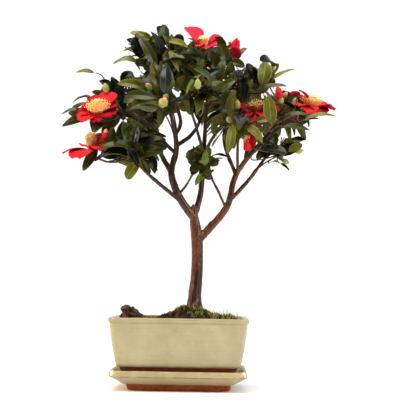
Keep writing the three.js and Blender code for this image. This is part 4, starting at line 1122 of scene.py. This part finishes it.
def grow_finer(index, grown, seed):
    """The finer twigs of a mass that has grown."""
    dice = seeded_stream(seed)
    for share in FINE_TWIGS:
        for shoot in grown["shoots"]:
            grow_fine_twig(index, shoot, share, dice, grown)


# Each mass grows as its solid did. Leaves that would close the front are then left out, and finer twigs fill it up.
masses = [grow_mass(index) for index in range(len(MASSES))]
for index, mass in enumerate(masses):
    mass["leaves"] = [leaf for leaf in mass["leaves"] if keeps_front_open(leaf)]
    grow_finer(index, mass, MASSES[index]["fine_seed"])
mass_names = [mass["name"] for mass in MASSES]

LEAF_FACING = np.array((0, -0.8, 0.6))
FACING_SPREAD = 0.45
BROAD_LEAF = 0.5
BARE_TWIGS = [("foliage_top_left", (-70, -30, 401), (-0.72, -0.1, 0.68))]


def carrier(mass_name, place):
    """The nearest point on a mass's stem and shoots."""
    mass = masses[mass_names.index(mass_name)]
    points = [bent(*mass["stem"], share) for share in np.linspace(0.3, 1, 8)]
    for shoot in mass["shoots"]:
        points += [bent(*shoot["curve"], share) for share in np.linspace(0.2, 1, 9)]
    return min(points, key=lambda point: np.linalg.norm(point - place))


def carried_twig(mass_name, place, heading):
    """A bent twig from what carries it to a place, which it reaches along a heading."""
    root = carrier(mass_name, place)
    return root, place - heading * np.linalg.norm(place - root) * 0.45, place


outer_leaves = {kind: [] for _, _, _, _, kind in OUTER_LEAVES}
outer_twigs = []
outer_dice = np.random.default_rng(9)
for mass_name, root, tip, slimness, kind in OUTER_LEAVES:
    root, tip = np.array(root, dtype=float), np.array(tip, dtype=float)
    length = np.linalg.norm(tip - root)
    along = (tip - root) / length
    facing = LEAF_FACING + outer_dice.uniform(-FACING_SPREAD, FACING_SPREAD, 3)
    up = unit(facing - along * (facing @ along))
    outer_leaves[kind].append({"root": root, "along": along, "side": np.cross(along, up), "up": up, "length": length,
                               "width": length * slimness, "broad": slimness >= BROAD_LEAF})
    outer_twigs.append(carried_twig(mass_name, root, along))
for mass_name, tip, heading in BARE_TWIGS:
    outer_twigs.append(carried_twig(mass_name, np.array(tip, dtype=float), unit(np.array(heading, dtype=float))))

TWIG_SIDES = 6
TWIG_STEPS, FINE_TWIG_STEPS = 9, 5
OLD_TWIG, YOUNG_TWIG = range(2)
STEM_COVER, STEM_TIP = 0.05, 1.25
TWIG_ENDS = {"shoot": (1.2, 0.75), "fine": (0.75, 0.5), "outer": (0.8, 0.55), "side": (0.95, 0.65),
             "flower": (1.3, 1.05), "bud": (0.9, 0.7)}
twig_points, twig_faces, twig_kinds = [], [], []


def add_twig(curve, ends, kind, steps=TWIG_STEPS):
    """A thin round twig along a bend, tapering between the radii of its ends and closed there."""
    shares = np.linspace(0, 1, steps)
    line = np.array([bent(*curve, share) for share in shares])
    first = len(twig_points)
    turns = np.arange(TWIG_SIDES) * 2 * math.pi / TWIG_SIDES
    for point, radius, (_, side, across) in zip(line, between(*ends, shares), line_frames(line)):
        twig_points.extend(point + radius * (np.outer(np.cos(turns), side) + np.outer(np.sin(turns), across)))
    rings = len(line)
    for ring in range(rings - 1):
        for corner in range(TWIG_SIDES):
            a, b = first + ring * TWIG_SIDES + corner, first + ring * TWIG_SIDES + (corner + 1) % TWIG_SIDES
            twig_faces.append((b, a, a + TWIG_SIDES, b + TWIG_SIDES))
    twig_faces.append(tuple(first + corner for corner in range(TWIG_SIDES)))
    twig_faces.append(tuple(first + (rings - 1) * TWIG_SIDES + corner for corner in reversed(range(TWIG_SIDES))))
    twig_kinds.extend([kind] * (TWIG_SIDES * (rings - 1) + 2))


for mass in masses:
    add_twig(mass["stem"], (mass["stem_radius"] + STEM_COVER, STEM_TIP), OLD_TWIG)
    for shoot in mass["shoots"]:
        add_twig(shoot["curve"], TWIG_ENDS["shoot"], OLD_TWIG)
    for twig in mass["twigs"]:
        add_twig(twig, TWIG_ENDS["fine"], YOUNG_TWIG, FINE_TWIG_STEPS)
for twig in outer_twigs:
    add_twig(twig, TWIG_ENDS["outer"], YOUNG_TWIG)

# Side branches from the boughs into the masses, thin and nearly straight.
side_dice = np.random.default_rng(3)
for mass, values in zip(masses, MASSES):
    line, _ = growth_limbs[values["bough"]]
    for shoot in mass["shoots"][::2]:
        place = side_dice.uniform(0.5, 0.9) * (len(line) - 1)
        low = int(place)
        start = between(line[low], line[low + 1], place - low)
        end = bent(*shoot["curve"], 0.6)
        control = start + unit(line[low + 1] - line[low]) * np.linalg.norm(end - start) * 0.4
        add_twig((start, control, end), TWIG_ENDS["side"], OLD_TWIG)


LEAF_STATIONS = np.array([0.09, 0.19, 0.34, 0.52, 0.7, 0.85, 0.95])
BLUNT_LEAF = np.array([0.06, 0.5, 0.84, 1.0, 0.99, 0.83, 0.52])
POINTED_LEAF = np.array([0.07, 0.5, 0.9, 1.0, 0.8, 0.46, 0.17])
LEAF_COLUMNS = np.array([-1, -0.88, -0.5, -0.06, 0.06, 0.5, 0.88, 1])
LEAF_THICKNESS = 0.55
LEAF_GROOVE = 0.12
SMALL_LEAF_BREADTH = 1.3
LEAF_POINTS = 2 + len(LEAF_STATIONS) * (len(LEAF_COLUMNS) + 1)


def leaf_faces():
    """Faces of one leaf: the upper side as kind 0; its midrib and its edge strips as 1, whose pale tint on the edges is
    painted backlight; the underside as 2.
    """
    columns = len(LEAF_COLUMNS)
    rows = [[1 + row * (columns + 1) + column for column in range(columns + 1)] for row in range(len(LEAF_STATIONS))]
    root, tip = 0, LEAF_POINTS - 1
    faces, kinds = [], []
    for column in range(columns - 1):
        kind = int(column in (0, columns // 2 - 1, columns - 2))
        faces.append((root, rows[0][column], rows[0][column + 1]))
        faces += [(low[column], high[column], high[column + 1], low[column + 1]) for low, high in zip(rows, rows[1:])]
        faces.append((rows[-1][column], tip, rows[-1][column + 1]))
        kinds += [kind] * (len(rows) + 1)
    for left, right in ((columns - 1, columns), (columns, 0)):
        faces.append((root, rows[0][left], rows[0][right]))
        faces += [(low[left], high[left], high[right], low[right]) for low, high in zip(rows, rows[1:])]
        faces.append((rows[-1][left], tip, rows[-1][right]))
        kinds += [2] * (len(rows) + 1)
    return faces, kinds


def leaf_points(leaf, dice):
    """Points of one leaf: folded at its midrib, arched over with a drooping tip, and a little twisted."""
    fold = dice.uniform(0.16, 0.55)
    bow, droop = dice.uniform(0.03, 0.17), dice.uniform(-0.05, 0.22)
    twist, sickle = dice.uniform(-0.9, 0.9), dice.uniform(-0.1, 0.1)
    wave = dice.uniform(-0.9, 0.9)
    half = leaf["width"] / 2 * dice.uniform(0.84, 1.1)
    pointed = dice.uniform(0, 0.75)
    if leaf.get("broad"):
        fold, twist, pointed = fold * 0.6, twist * 0.35, pointed * 0.25
    outline = between(BLUNT_LEAF, POINTED_LEAF, pointed)
    shares = np.concatenate([[0], np.repeat(LEAF_STATIONS, len(LEAF_COLUMNS) + 1), [1]])
    across = np.concatenate([[0], np.tile(np.append(LEAF_COLUMNS, 0), len(LEAF_STATIONS)), [0]])
    widths = np.concatenate([[0], np.repeat(outline, len(LEAF_COLUMNS) + 1), [0]]) * half
    under = np.concatenate([[0], np.tile([0] * len(LEAF_COLUMNS) + [1], len(LEAF_STATIONS)), [0]])
    groove = np.abs(across) < 0.1
    lift = fold * np.abs(across) * (1 - 0.32 * np.abs(across)) * widths
    lift += (bow * 4 * shares * (1 - shares) - droop * shares ** 3) * leaf["length"]
    lift += wave * np.sin(shares * 9 + across) * across ** 2 * (widths > 1)
    lift -= under * LEAF_THICKNESS + groove * (1 - under) * LEAF_GROOVE
    turn = twist * (shares - 0.4)
    lateral = across * widths
    bend = sickle * shares ** 2 * leaf["length"]
    return (leaf["root"] + np.outer(shares * leaf["length"], leaf["along"])
            + np.outer(lateral * np.cos(turn) + bend, leaf["side"])
            + np.outer(lift + lateral * np.sin(turn), leaf["up"]))


def leaf_material(name, colours, roughness, gloss):
    """A waxy leaf face: close greens under a soft gloss."""
    material = plain_material(name, colours, 90, roughness, 0.12)
    shader = material.node_tree.nodes["Principled BSDF"]
    shader.inputs["Specular IOR Level"].default_value = gloss
    return material


underside = leaf_material("leaf_underside", [(0.1, 0.096, 0.017), (0.16, 0.152, 0.032)], 0.6, 0.2)
LEAF_TINTS = {
    "leaves_deep": ([(0.0028, 0.0044, 0.002), (0.01, 0.0145, 0.006)], (0.026, 0.033, 0.012), 0.26, 0.2),
    "leaves_green": ([(0.026, 0.033, 0.0055), (0.06, 0.068, 0.011)], (0.1, 0.11, 0.024), 0.3, 0.32),
    "leaves_olive": ([(0.095, 0.095, 0.011), (0.17, 0.163, 0.022)], (0.24, 0.235, 0.05), 0.34, 0.28),
    "leaves_young": ([(0.08, 0.13, 0.018), (0.17, 0.24, 0.045)], (0.25, 0.32, 0.09), 0.36, 0.3),
    # The blue tint's bluish colour is a painted reflection of the blue sheen seen on some dark leaves; their gloss is
    # real.
    "leaves_blue_sheen": ([(0.012, 0.022, 0.016), (0.034, 0.052, 0.038)], (0.075, 0.09, 0.05), 0.26, 0.45),
}
CROWN_REACH = (130, 110, 175)
SPRAY_SHARE = 0.6
LOOSE_TINTS = (0.48, 0.34, 0.18)
YOUNG_SHARE = 0.45
leaf_dice = np.random.default_rng(23)

# The leaves of a shoot mostly share a tint, with more olive ones towards the outside of the crown.
sprays = {}
dealt = {name: [] for name in LEAF_TINTS}
for index, mass in enumerate(masses):
    for leaf in mass["leaves"]:
        if leaf["spray"] not in sprays:
            outer = np.linalg.norm((leaf["root"] - TREE_FORK) / CROWN_REACH)
            olive = 0.1 + 0.32 * min(max(outer - 0.55, 0), 1)
            sprays[leaf["spray"]] = leaf_dice.choice(3, p=(0.62 - olive, 0.38, olive))
        kind = sprays[leaf["spray"]] if leaf_dice.random() < SPRAY_SHARE else leaf_dice.choice(3, p=LOOSE_TINTS)
        if MASSES[index]["leaf_size"] < 1:
            kind = 3 if leaf_dice.random() < YOUNG_SHARE else 1
            leaf["width"] *= SMALL_LEAF_BREADTH
        dealt[list(LEAF_TINTS)[kind]].append(leaf)

ONE_LEAF_FACES, ONE_LEAF_KINDS = leaf_faces()
for name, (colours, rib_and_lit_edge, roughness, gloss) in LEAF_TINTS.items():
    tinted = dealt[name] + outer_leaves[name]
    points = np.concatenate([leaf_points(leaf, leaf_dice) for leaf in tinted])
    faces = [tuple(number * LEAF_POINTS + corner for corner in face)
             for number in range(len(tinted)) for face in ONE_LEAF_FACES]
    # The midrib tint is the midrib's own paler green and, on the leaf's edge strips, a painted rim of backlight.
    leaves = joined_piece(name, points, faces, ONE_LEAF_KINDS * len(tinted), [
        leaf_material(name + "_face", colours, roughness, gloss),
        leaf_material(name + "_midrib_and_lit_edge", [rib_and_lit_edge, rib_and_lit_edge], 0.5, gloss), underside], smooth=True)
    rim = np.isin(np.arange(len(points)) % LEAF_POINTS, [
        1 + row * (len(LEAF_COLUMNS) + 1) + column
        for row in range(len(LEAF_STATIONS)) for column in (0, len(LEAF_COLUMNS) - 1)] + [0, LEAF_POINTS - 1])
    ends = np.empty(len(leaves.data.edges) * 2, dtype=np.int32)
    leaves.data.edges.foreach_get("vertices", ends)
    ends = ends.reshape(-1, 2)
    leaves.data.edges.foreach_set("use_edge_sharp", rim[ends[:, 0]] & rim[ends[:, 1]])
    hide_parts(*mass_names)


# Flowers
# Single red blooms: soft petals with waved and notched edges, held in a ring of green scales, round
# a thick golden boss of stamens.
PETAL_SIZE = (29, 24)
PETAL_OUTLINE = ([0, 0.12, 0.35, 0.6, 0.8, 0.93, 1], [0.2, 0.34, 0.74, 1, 0.95, 0.72, 0.42])
PETAL_THICKNESS = 0.5
PETAL_NOTCH = 0.1
PETAL_BULGE = 0.1
PETAL_ROWS = 9
PETAL_COLUMNS = 7
MAIN_TINT_SHARE = 0.7
STAMENS = 190
STAMEN_RADII = (0.34, 0.22)
STAMEN_FOOT = 4.5
BOSS_RADIUS = 12.5
BOSS_DOME = 4.6
CALYX = (6.5, 4.6)
# Each bloom's tints of petals and stamens, its boss as (girth, height, looseness), and its petals as (turn, spread,
# size, twist if any): a turn of 0 points to the front view's right, 90 up or back, and a spread of 90 lies flat.
BLOOMS = [
    (0, 0, (1.22, 1, 1), [
        (178, 78, 1), (222, 84, 0.95), (268, 88, 0.8), (318, 78, 0.85), (2, 58, 0.9), (48, 50, 1), (96, 56, 0.95),
        (138, 66, 0.95)]),
    # Painted light: this bloom's pale filaments lift the shade that falls on its boss.
    (0, 2, (0.62, 1.25, 1), [
        (196, 96, 1.25), (246, 100, 1.2), (300, 92, 0.95), (352, 70, 0.8), (42, 40, 0.9), (120, 74, 0.8)]),
    (2, 0, (0.54, 0.9, 1), [
        (160, 36, 1.18, 22), (140, 56, 0.8), (250, 96, 0.55), (282, 96, 0.6), (8, 62, 0.92, -50), (40, 56, 0.8)]),
    (2, 0, (0.5, 0.7, 1), [(274, 36, 0.95), (340, 38, 0.85), (40, 38, 0.75), (110, 38, 0.8), (190, 40, 0.8)]),
    (0, 0, (1.12, 1, 1), [
        (184, 34, 0.85), (150, 46, 0.75), (222, 82, 0.9), (262, 88, 0.9), (302, 90, 0.95), (344, 86, 1.08), (30, 80, 1),
        (92, 70, 0.9)]),
    # Painted shade: this bloom's crimson petals and russet filaments stand in for its petals and boss hanging in
    # shadow.
    (1, 3, (1.02, 0.75, 2.6), [
        (180, 80, 1), (222, 92, 1.05), (262, 100, 1), (302, 98, 1.05), (342, 84, 0.95), (20, 74, 0.9), (90, 84, 0.8)]),
    (1, 0, (0.8, 0.8, 1), [(0, 44, 1), (60, 42, 1.1), (120, 46, 1), (180, 42, 1.05), (240, 46, 1), (300, 44, 1)]),
    (1, 0, (0.6, 0.8, 1), [(0, 26, 0.8), (72, 30, 0.85), (144, 28, 0.8), (216, 30, 0.85), (288, 26, 0.8)]),
]
REAR_BLOOM = (0, 0, (1, 1, 1), [
    (12, 74, 1), (70, 70, 0.95), (134, 76, 1.04), (190, 72, 0.96), (250, 78, 1), (306, 70, 1.02)])
flower_dice = np.random.default_rng(41)
petal_points, petal_faces, petal_kinds = [], [], []
stamen_points, stamen_faces, stamen_kinds = [], [], []


def add_petal(base, facing, out, size, spread, twist, dice, kind):
    """One petal: a narrow claw that widens to a cupped, waved blade with a notched tip."""
    spread += dice.uniform(-0.07, 0.07)
    length = PETAL_SIZE[0] * size * dice.uniform(0.9, 1.08)
    width = PETAL_SIZE[1] * size * dice.uniform(0.88, 1.1)
    curl, cup, wave = dice.uniform(-0.1, 0.3), dice.uniform(0.1, 0.35), dice.uniform(0.6, 1.6)
    phase = dice.uniform(0, 6.3)
    along = around(facing, out, spread)
    flat = unit(np.cross(along, facing))
    side = around(flat, np.cross(flat, along), twist)
    up = np.cross(side, along)
    root = base + out * 1.5 * size - facing * 2 * size
    shares = np.linspace(0, 1, PETAL_ROWS)
    profile = np.interp(shares, *PETAL_OUTLINE)
    first = len(petal_points)
    for layer in (0, -PETAL_THICKNESS):
        for share, half in zip(shares, profile):
            for across in np.linspace(-1, 1, PETAL_COLUMNS):
                notch = PETAL_NOTCH * (1 - abs(across)) ** 2 * share ** 6
                run = (share - notch - 0.07 * across ** 2 * share ** 2) * length
                ripple = wave * share ** 2 * math.sin(across * 4.2 + phase) * (0.3 + abs(across))
                arch = PETAL_BULGE * math.sin(share * math.pi) - curl * share ** 2 * 0.5
                lift = cup * (across * half) ** 2 * width * 0.4 + arch * length + ripple
                petal_points.append(root + along * run + side * across * half * width / 2 + up * (lift + layer))
    rows, columns = PETAL_ROWS, PETAL_COLUMNS
    layer_size = rows * columns
    for row in range(rows - 1):
        for column in range(columns - 1):
            a = first + row * columns + column
            petal_faces.append((a, a + 1, a + columns + 1, a + columns))
            b = a + layer_size
            petal_faces.append((b, b + columns, b + columns + 1, b + 1))
    border = [*range(columns), *(row * columns + columns - 1 for row in range(1, rows)),
              *((rows - 1) * columns + column for column in range(columns - 2, -1, -1)),
              *(row * columns for row in range(rows - 2, 0, -1))]
    for here, there in zip(border, border[1:] + border[:1]):
        petal_faces.append((first + there, first + here, first + here + layer_size, first + there + layer_size))
    petal_kinds.extend([kind] * (2 * (rows - 1) * (columns - 1) + len(border)))


def add_stamen(root, tip, size, kind):
    """A stamen: a slim filament of three sides with a small anther on its tip."""
    along = unit(tip - root)
    side, across = side_directions(along)
    first = len(stamen_points)
    for end, radius in zip((root, tip), STAMEN_RADII):
        for turn in THREE_SIDES:
            stamen_points.append(end + around(side, across, turn) * radius * size)
    for corner in range(3):
        other = (corner + 1) % 3
        stamen_faces.append((first + corner, first + other, first + 3 + other, first + 3 + corner))
    stamen_faces.extend([(first, first + 2, first + 1), (first + 3, first + 4, first + 5)])
    stamen_kinds.extend([kind] * 5)
    knob = len(stamen_points)
    for offset in (side, across, -side, -across):
        stamen_points.append(tip + offset * 0.78 * size)
    stamen_points.append(tip + along * 1.05 * size)
    stamen_points.append(tip - along * 0.7 * size)
    for corner in range(4):
        other = (corner + 1) % 4
        stamen_faces.append((knob + corner, knob + other, knob + 4))
        stamen_faces.append((knob + other, knob + corner, knob + 5))
    stamen_kinds.extend([1] * 8)


CALYX_GREEN, BUD_GREEN, BUD_BLUSH, BUD_RED = range(4)
bud_points, bud_faces, bud_kinds = [], [], []


def add_bud(base, facing, length, radius, kinds):
    """A bud or calyx: an egg of overlapping scales."""
    side, across = side_directions(facing)
    rings, sides = 7, 10
    first = len(bud_points)
    for ring in range(rings + 1):
        share = ring / rings
        girth = radius * math.sin(math.pi * min(0.16 + share * 0.84, 1)) ** 0.75
        for corner in range(sides):
            turn = corner * 2 * math.pi / sides + ring * 0.3
            scale = 1 + 0.1 * math.cos(5 * turn / 2 + ring * 2.1)
            bud_points.append(base + facing * share * length + around(side, across, turn) * girth * scale)
    for ring in range(rings):
        for corner in range(sides):
            a, b = first + ring * sides + corner, first + ring * sides + (corner + 1) % sides
            bud_faces.append((a, b, b + sides, a + sides))
            bud_kinds.append(kinds[1] if ring >= rings * 0.6 and (corner + ring) % 5 else kinds[0])
    bud_faces.append(tuple(first + corner for corner in reversed(range(sides))))
    bud_faces.append(tuple(first + rings * sides + corner for corner in range(sides)))
    bud_kinds.extend([kinds[0], kinds[1]])


for number, flower in enumerate(FLOWERS):
    base, size = flower_base[number], flower["size"]
    facing = flower_facing[number]
    side = unit(np.array((1, 0, 0)) - facing * facing[0])
    across = np.cross(facing, side)
    main_tint, stamen_tint, (girth, rise, loose), petals = BLOOMS[number] if number < len(BLOOMS) else REAR_BLOOM
    for turn, spread, petal_size, *twist in petals:
        out = around(side, across, math.radians(turn))
        kind = main_tint if flower_dice.random() < MAIN_TINT_SHARE else int(main_tint == 0)
        spread, twist = math.radians(spread), math.radians(sum(twist))
        add_petal(base, facing, out, size * petal_size, spread, twist, flower_dice, kind)
    count = int(STAMENS / loose)
    for stamen in range(count):
        out = math.sqrt((stamen + 0.5) / count)
        way = around(side, across, stamen * GOLDEN_TURN)
        root = base + way * out * STAMEN_FOOT * size - facing * size
        height = (BOSS_HEIGHT - BOSS_DOME * out ** 2 + flower_dice.uniform(-1.1, 1.1) * loose) * size * rise
        reach = out * BOSS_RADIUS * girth * size * flower_dice.uniform(1 - 0.1 * loose, 1.06)
        add_stamen(root, base + way * reach + facing * height, size, stamen_tint)
    add_bud(base - facing * CALYX[0] * size, facing, CALYX[0] * size, CALYX[1] * size, (CALYX_GREEN, CALYX_GREEN))
    mass = masses[mass_names.index(flower["mass"])]
    root = (bent(*mass["stem"], 1 / 3) + bent(*mass["stem"], 2 / 3)) / 2
    back = base - facing * 7 * size
    control = (root + back) / 2 - facing * np.linalg.norm(back - root) * 0.4
    add_twig((root, control, back), TWIG_ENDS["flower"], YOUNG_TWIG)

petals = joined_piece("petals", petal_points, petal_faces, petal_kinds, [
    leaf_material("petal_red", [(0.56, 0.013, 0.022), (0.7, 0.03, 0.042)], 0.6, 0.12),
    # The crimson tint is a darker tone among the red petals, and on the bloom whose petals hang in shadow it is painted
    # shade.
    leaf_material("petal_crimson_shaded", [(0.3, 0.004, 0.012), (0.46, 0.009, 0.02)], 0.6, 0.12),
    leaf_material("petal_rose", [(0.58, 0.02, 0.05), (0.72, 0.045, 0.085)], 0.6, 0.12)], smooth=True)
stamens = joined_piece("stamens", stamen_points, stamen_faces, stamen_kinds, [
    plain_material("filament", [(0.93, 0.53, 0.2), (0.97, 0.68, 0.36)], 200, 0.6),
    plain_material("anther", [(0.94, 0.7, 0.25), (0.98, 0.85, 0.48)], 300, 0.7),
    # The pale filaments are painted light on a boss that lies in shade.
    plain_material("filament_pale_lit", [(0.98, 0.76, 0.46), (1, 0.86, 0.6)], 200, 0.6),
    # The russet filaments are painted shade on the bloom whose boss sits in shadow.
    plain_material("filament_russet_shaded", [(0.4, 0.12, 0.03), (0.6, 0.26, 0.09)], 200, 0.6)])


# Buds
# Plump flower buds on some of the shoot tips, wrapped in overlapping green scales, with a blush of
# pink where the first petals show.
FRONT_BUDS = [
    ("foliage_front_left", (-21, -110, 315), (-15, -116, 323), 5.4, (BUD_GREEN, BUD_BLUSH)),
    ("foliage_left", (-88, -48, 342), (-90, -52, 353), 4, (BUD_GREEN, BUD_GREEN)),
    ("foliage_top", (30, -52, 362), (29, -56, 372), 3.6, (BUD_GREEN, BUD_BLUSH)),
    ("foliage_front", (19, -108, 335), (19, -112, 346), 4, (BUD_GREEN, BUD_GREEN)),
    ("foliage_right_upper", (114, -60, 329), (113, -62, 338), 3.4, (BUD_GREEN, BUD_GREEN)),
    ("foliage_right_upper", (113, -61, 333), (109, -64, 349), 4.5, (BUD_RED, BUD_RED)),
    ("foliage_left_low", (-87, -70, 284), (-84, -76, 295), 4, (BUD_RED, BUD_BLUSH)),
]
SHOOT_BUD = (10.5, 3.3)
for mass_name, base, tip, radius, kinds in FRONT_BUDS:
    base, tip = np.array(base, dtype=float), np.array(tip, dtype=float)
    heading = unit(tip - base)
    add_bud(base, heading, np.linalg.norm(tip - base), radius, kinds)
    add_twig(carried_twig(mass_name, base + heading, heading), TWIG_ENDS["bud"], YOUNG_TWIG)
for mass in masses:
    for shoot in mass["shoots"]:
        if shoot["bud"] is not None:
            base = shoot["curve"][2] - shoot["bud"]
            add_bud(base, shoot["bud"], *SHOOT_BUD, (BUD_GREEN, BUD_GREEN if shoot["spray"][1] else BUD_BLUSH))
buds = joined_piece("buds", bud_points, bud_faces, bud_kinds, [
    plain_material("calyx", [(0.12, 0.13, 0.03), (0.22, 0.22, 0.06)], 200, 0.6),
    plain_material("bud_scale", [(0.24, 0.27, 0.07), (0.42, 0.42, 0.16)], 160, 0.5),
    plain_material("bud_blush", [(0.6, 0.2, 0.14), (0.72, 0.42, 0.28)], 200, 0.5),
    plain_material("bud_red", [(0.42, 0.004, 0.012), (0.55, 0.008, 0.02)], 200, 0.6)], smooth=True)

twigs = joined_piece("twigs", twig_points, twig_faces, twig_kinds, [
    plain_material("twig_bark", [(0.014, 0.006, 0.004), (0.036, 0.015, 0.009), (0.075, 0.037, 0.022)], 140, 0.7, 0.6),
    plain_material("young_twig", [(0.07, 0.036, 0.016), (0.14, 0.085, 0.036)], 140, 0.65, 0.4)], smooth=True)
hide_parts(*mass_names)


# Floor, light and camera
# A plain pale floor under soft light from a warm side at the left and a cooler one at the right, seen
# from the photograph's place a little above the pot's rim.
FLOOR_SIZE = 1.9
FLOOR_LEVEL = -0.0002
floor = basic_shape("pale_floor", bpy.ops.mesh.primitive_plane_add, size=FLOOR_SIZE, location=(0, 0, FLOOR_LEVEL))
floor_material, _, floor_shader = new_material("pale_floor", 0.9)
floor_shader.inputs["Base Color"].default_value = (0.97, 0.97, 0.97, 1)
floor_shader.inputs["Specular IOR Level"].default_value = 0.1
floor.data.materials.append(floor_material)

world = bpy.data.worlds.new("studio")
bpy.context.scene.world = world
world.use_nodes = True
room = world.node_tree
room_place = room.nodes.new("ShaderNodeTexCoord")
room_parts = room.nodes.new("ShaderNodeSeparateXYZ")
room_light = room.nodes.new("ShaderNodeMapRange")
for name, value in (("From Min", -0.5), ("From Max", 0.3), ("To Min", 0.1), ("To Max", 1.06)):
    room_light.inputs[name].default_value = value
room.links.new(room_place.outputs["Generated"], room_parts.inputs["Vector"])
room.links.new(room_parts.outputs["Y"], room_light.inputs["Value"])
room.links.new(room_light.outputs["Result"], room.nodes["Background"].inputs["Strength"])
room.nodes["Background"].inputs["Color"].default_value = (1, 1, 1, 1)
bpy.context.scene.view_settings.view_transform = "Standard"
bpy.context.scene.view_settings.gamma = 0.82

LIGHTS = [
    ("warm_side", (-1.3, -0.75, 0.8), 0.7, 20, (1, 0.8, 0.56)),
    ("cool_side", (1.2, -0.8, 0.8), 0.8, 16, (0.95, 0.99, 1)),
    ("overhead", (-0.1, -0.3, 1.6), 1.2, 25, (1, 0.98, 0.95)),
]
LIGHT_AIM = Vector((0.02, 0, 0.22))
for name, place, size, power, colour in LIGHTS:
    lamp = bpy.data.lights.new(name, "AREA")
    lamp.size = size
    lamp.energy = power
    lamp.color = colour
    light = bpy.data.objects.new(name, lamp)
    light.location = place
    light.rotation_euler = (LIGHT_AIM - Vector(place)).to_track_quat("-Z", "Y").to_euler()
    bpy.context.scene.collection.objects.link(light)

CAMERA_TURN = math.radians(-0.934)
CAMERA_PITCH = math.radians(5.2)
CAMERA_ROLL = math.radians(0.8)
CAMERA_LENS = 86.6
ahead = Vector((math.sin(CAMERA_TURN), math.cos(CAMERA_TURN), 0))
skyward = Vector((0, 0, 1))
forward = around(ahead, skyward, CAMERA_PITCH)
level = forward.cross(skyward).normalized()
upright = level.cross(forward)
right = around(level, upright, CAMERA_ROLL)
top = around(upright, -level, CAMERA_ROLL)
lens = bpy.data.cameras.new("studio_camera")
lens.lens = CAMERA_LENS
lens.sensor_width = 36
camera = bpy.data.objects.new("studio_camera", lens)
camera.matrix_world = Matrix((right, top, -forward)).transposed().to_4x4()
camera.location = FRONT_EYE * MM
bpy.context.scene.collection.objects.link(camera)
bpy.context.scene.camera = camera
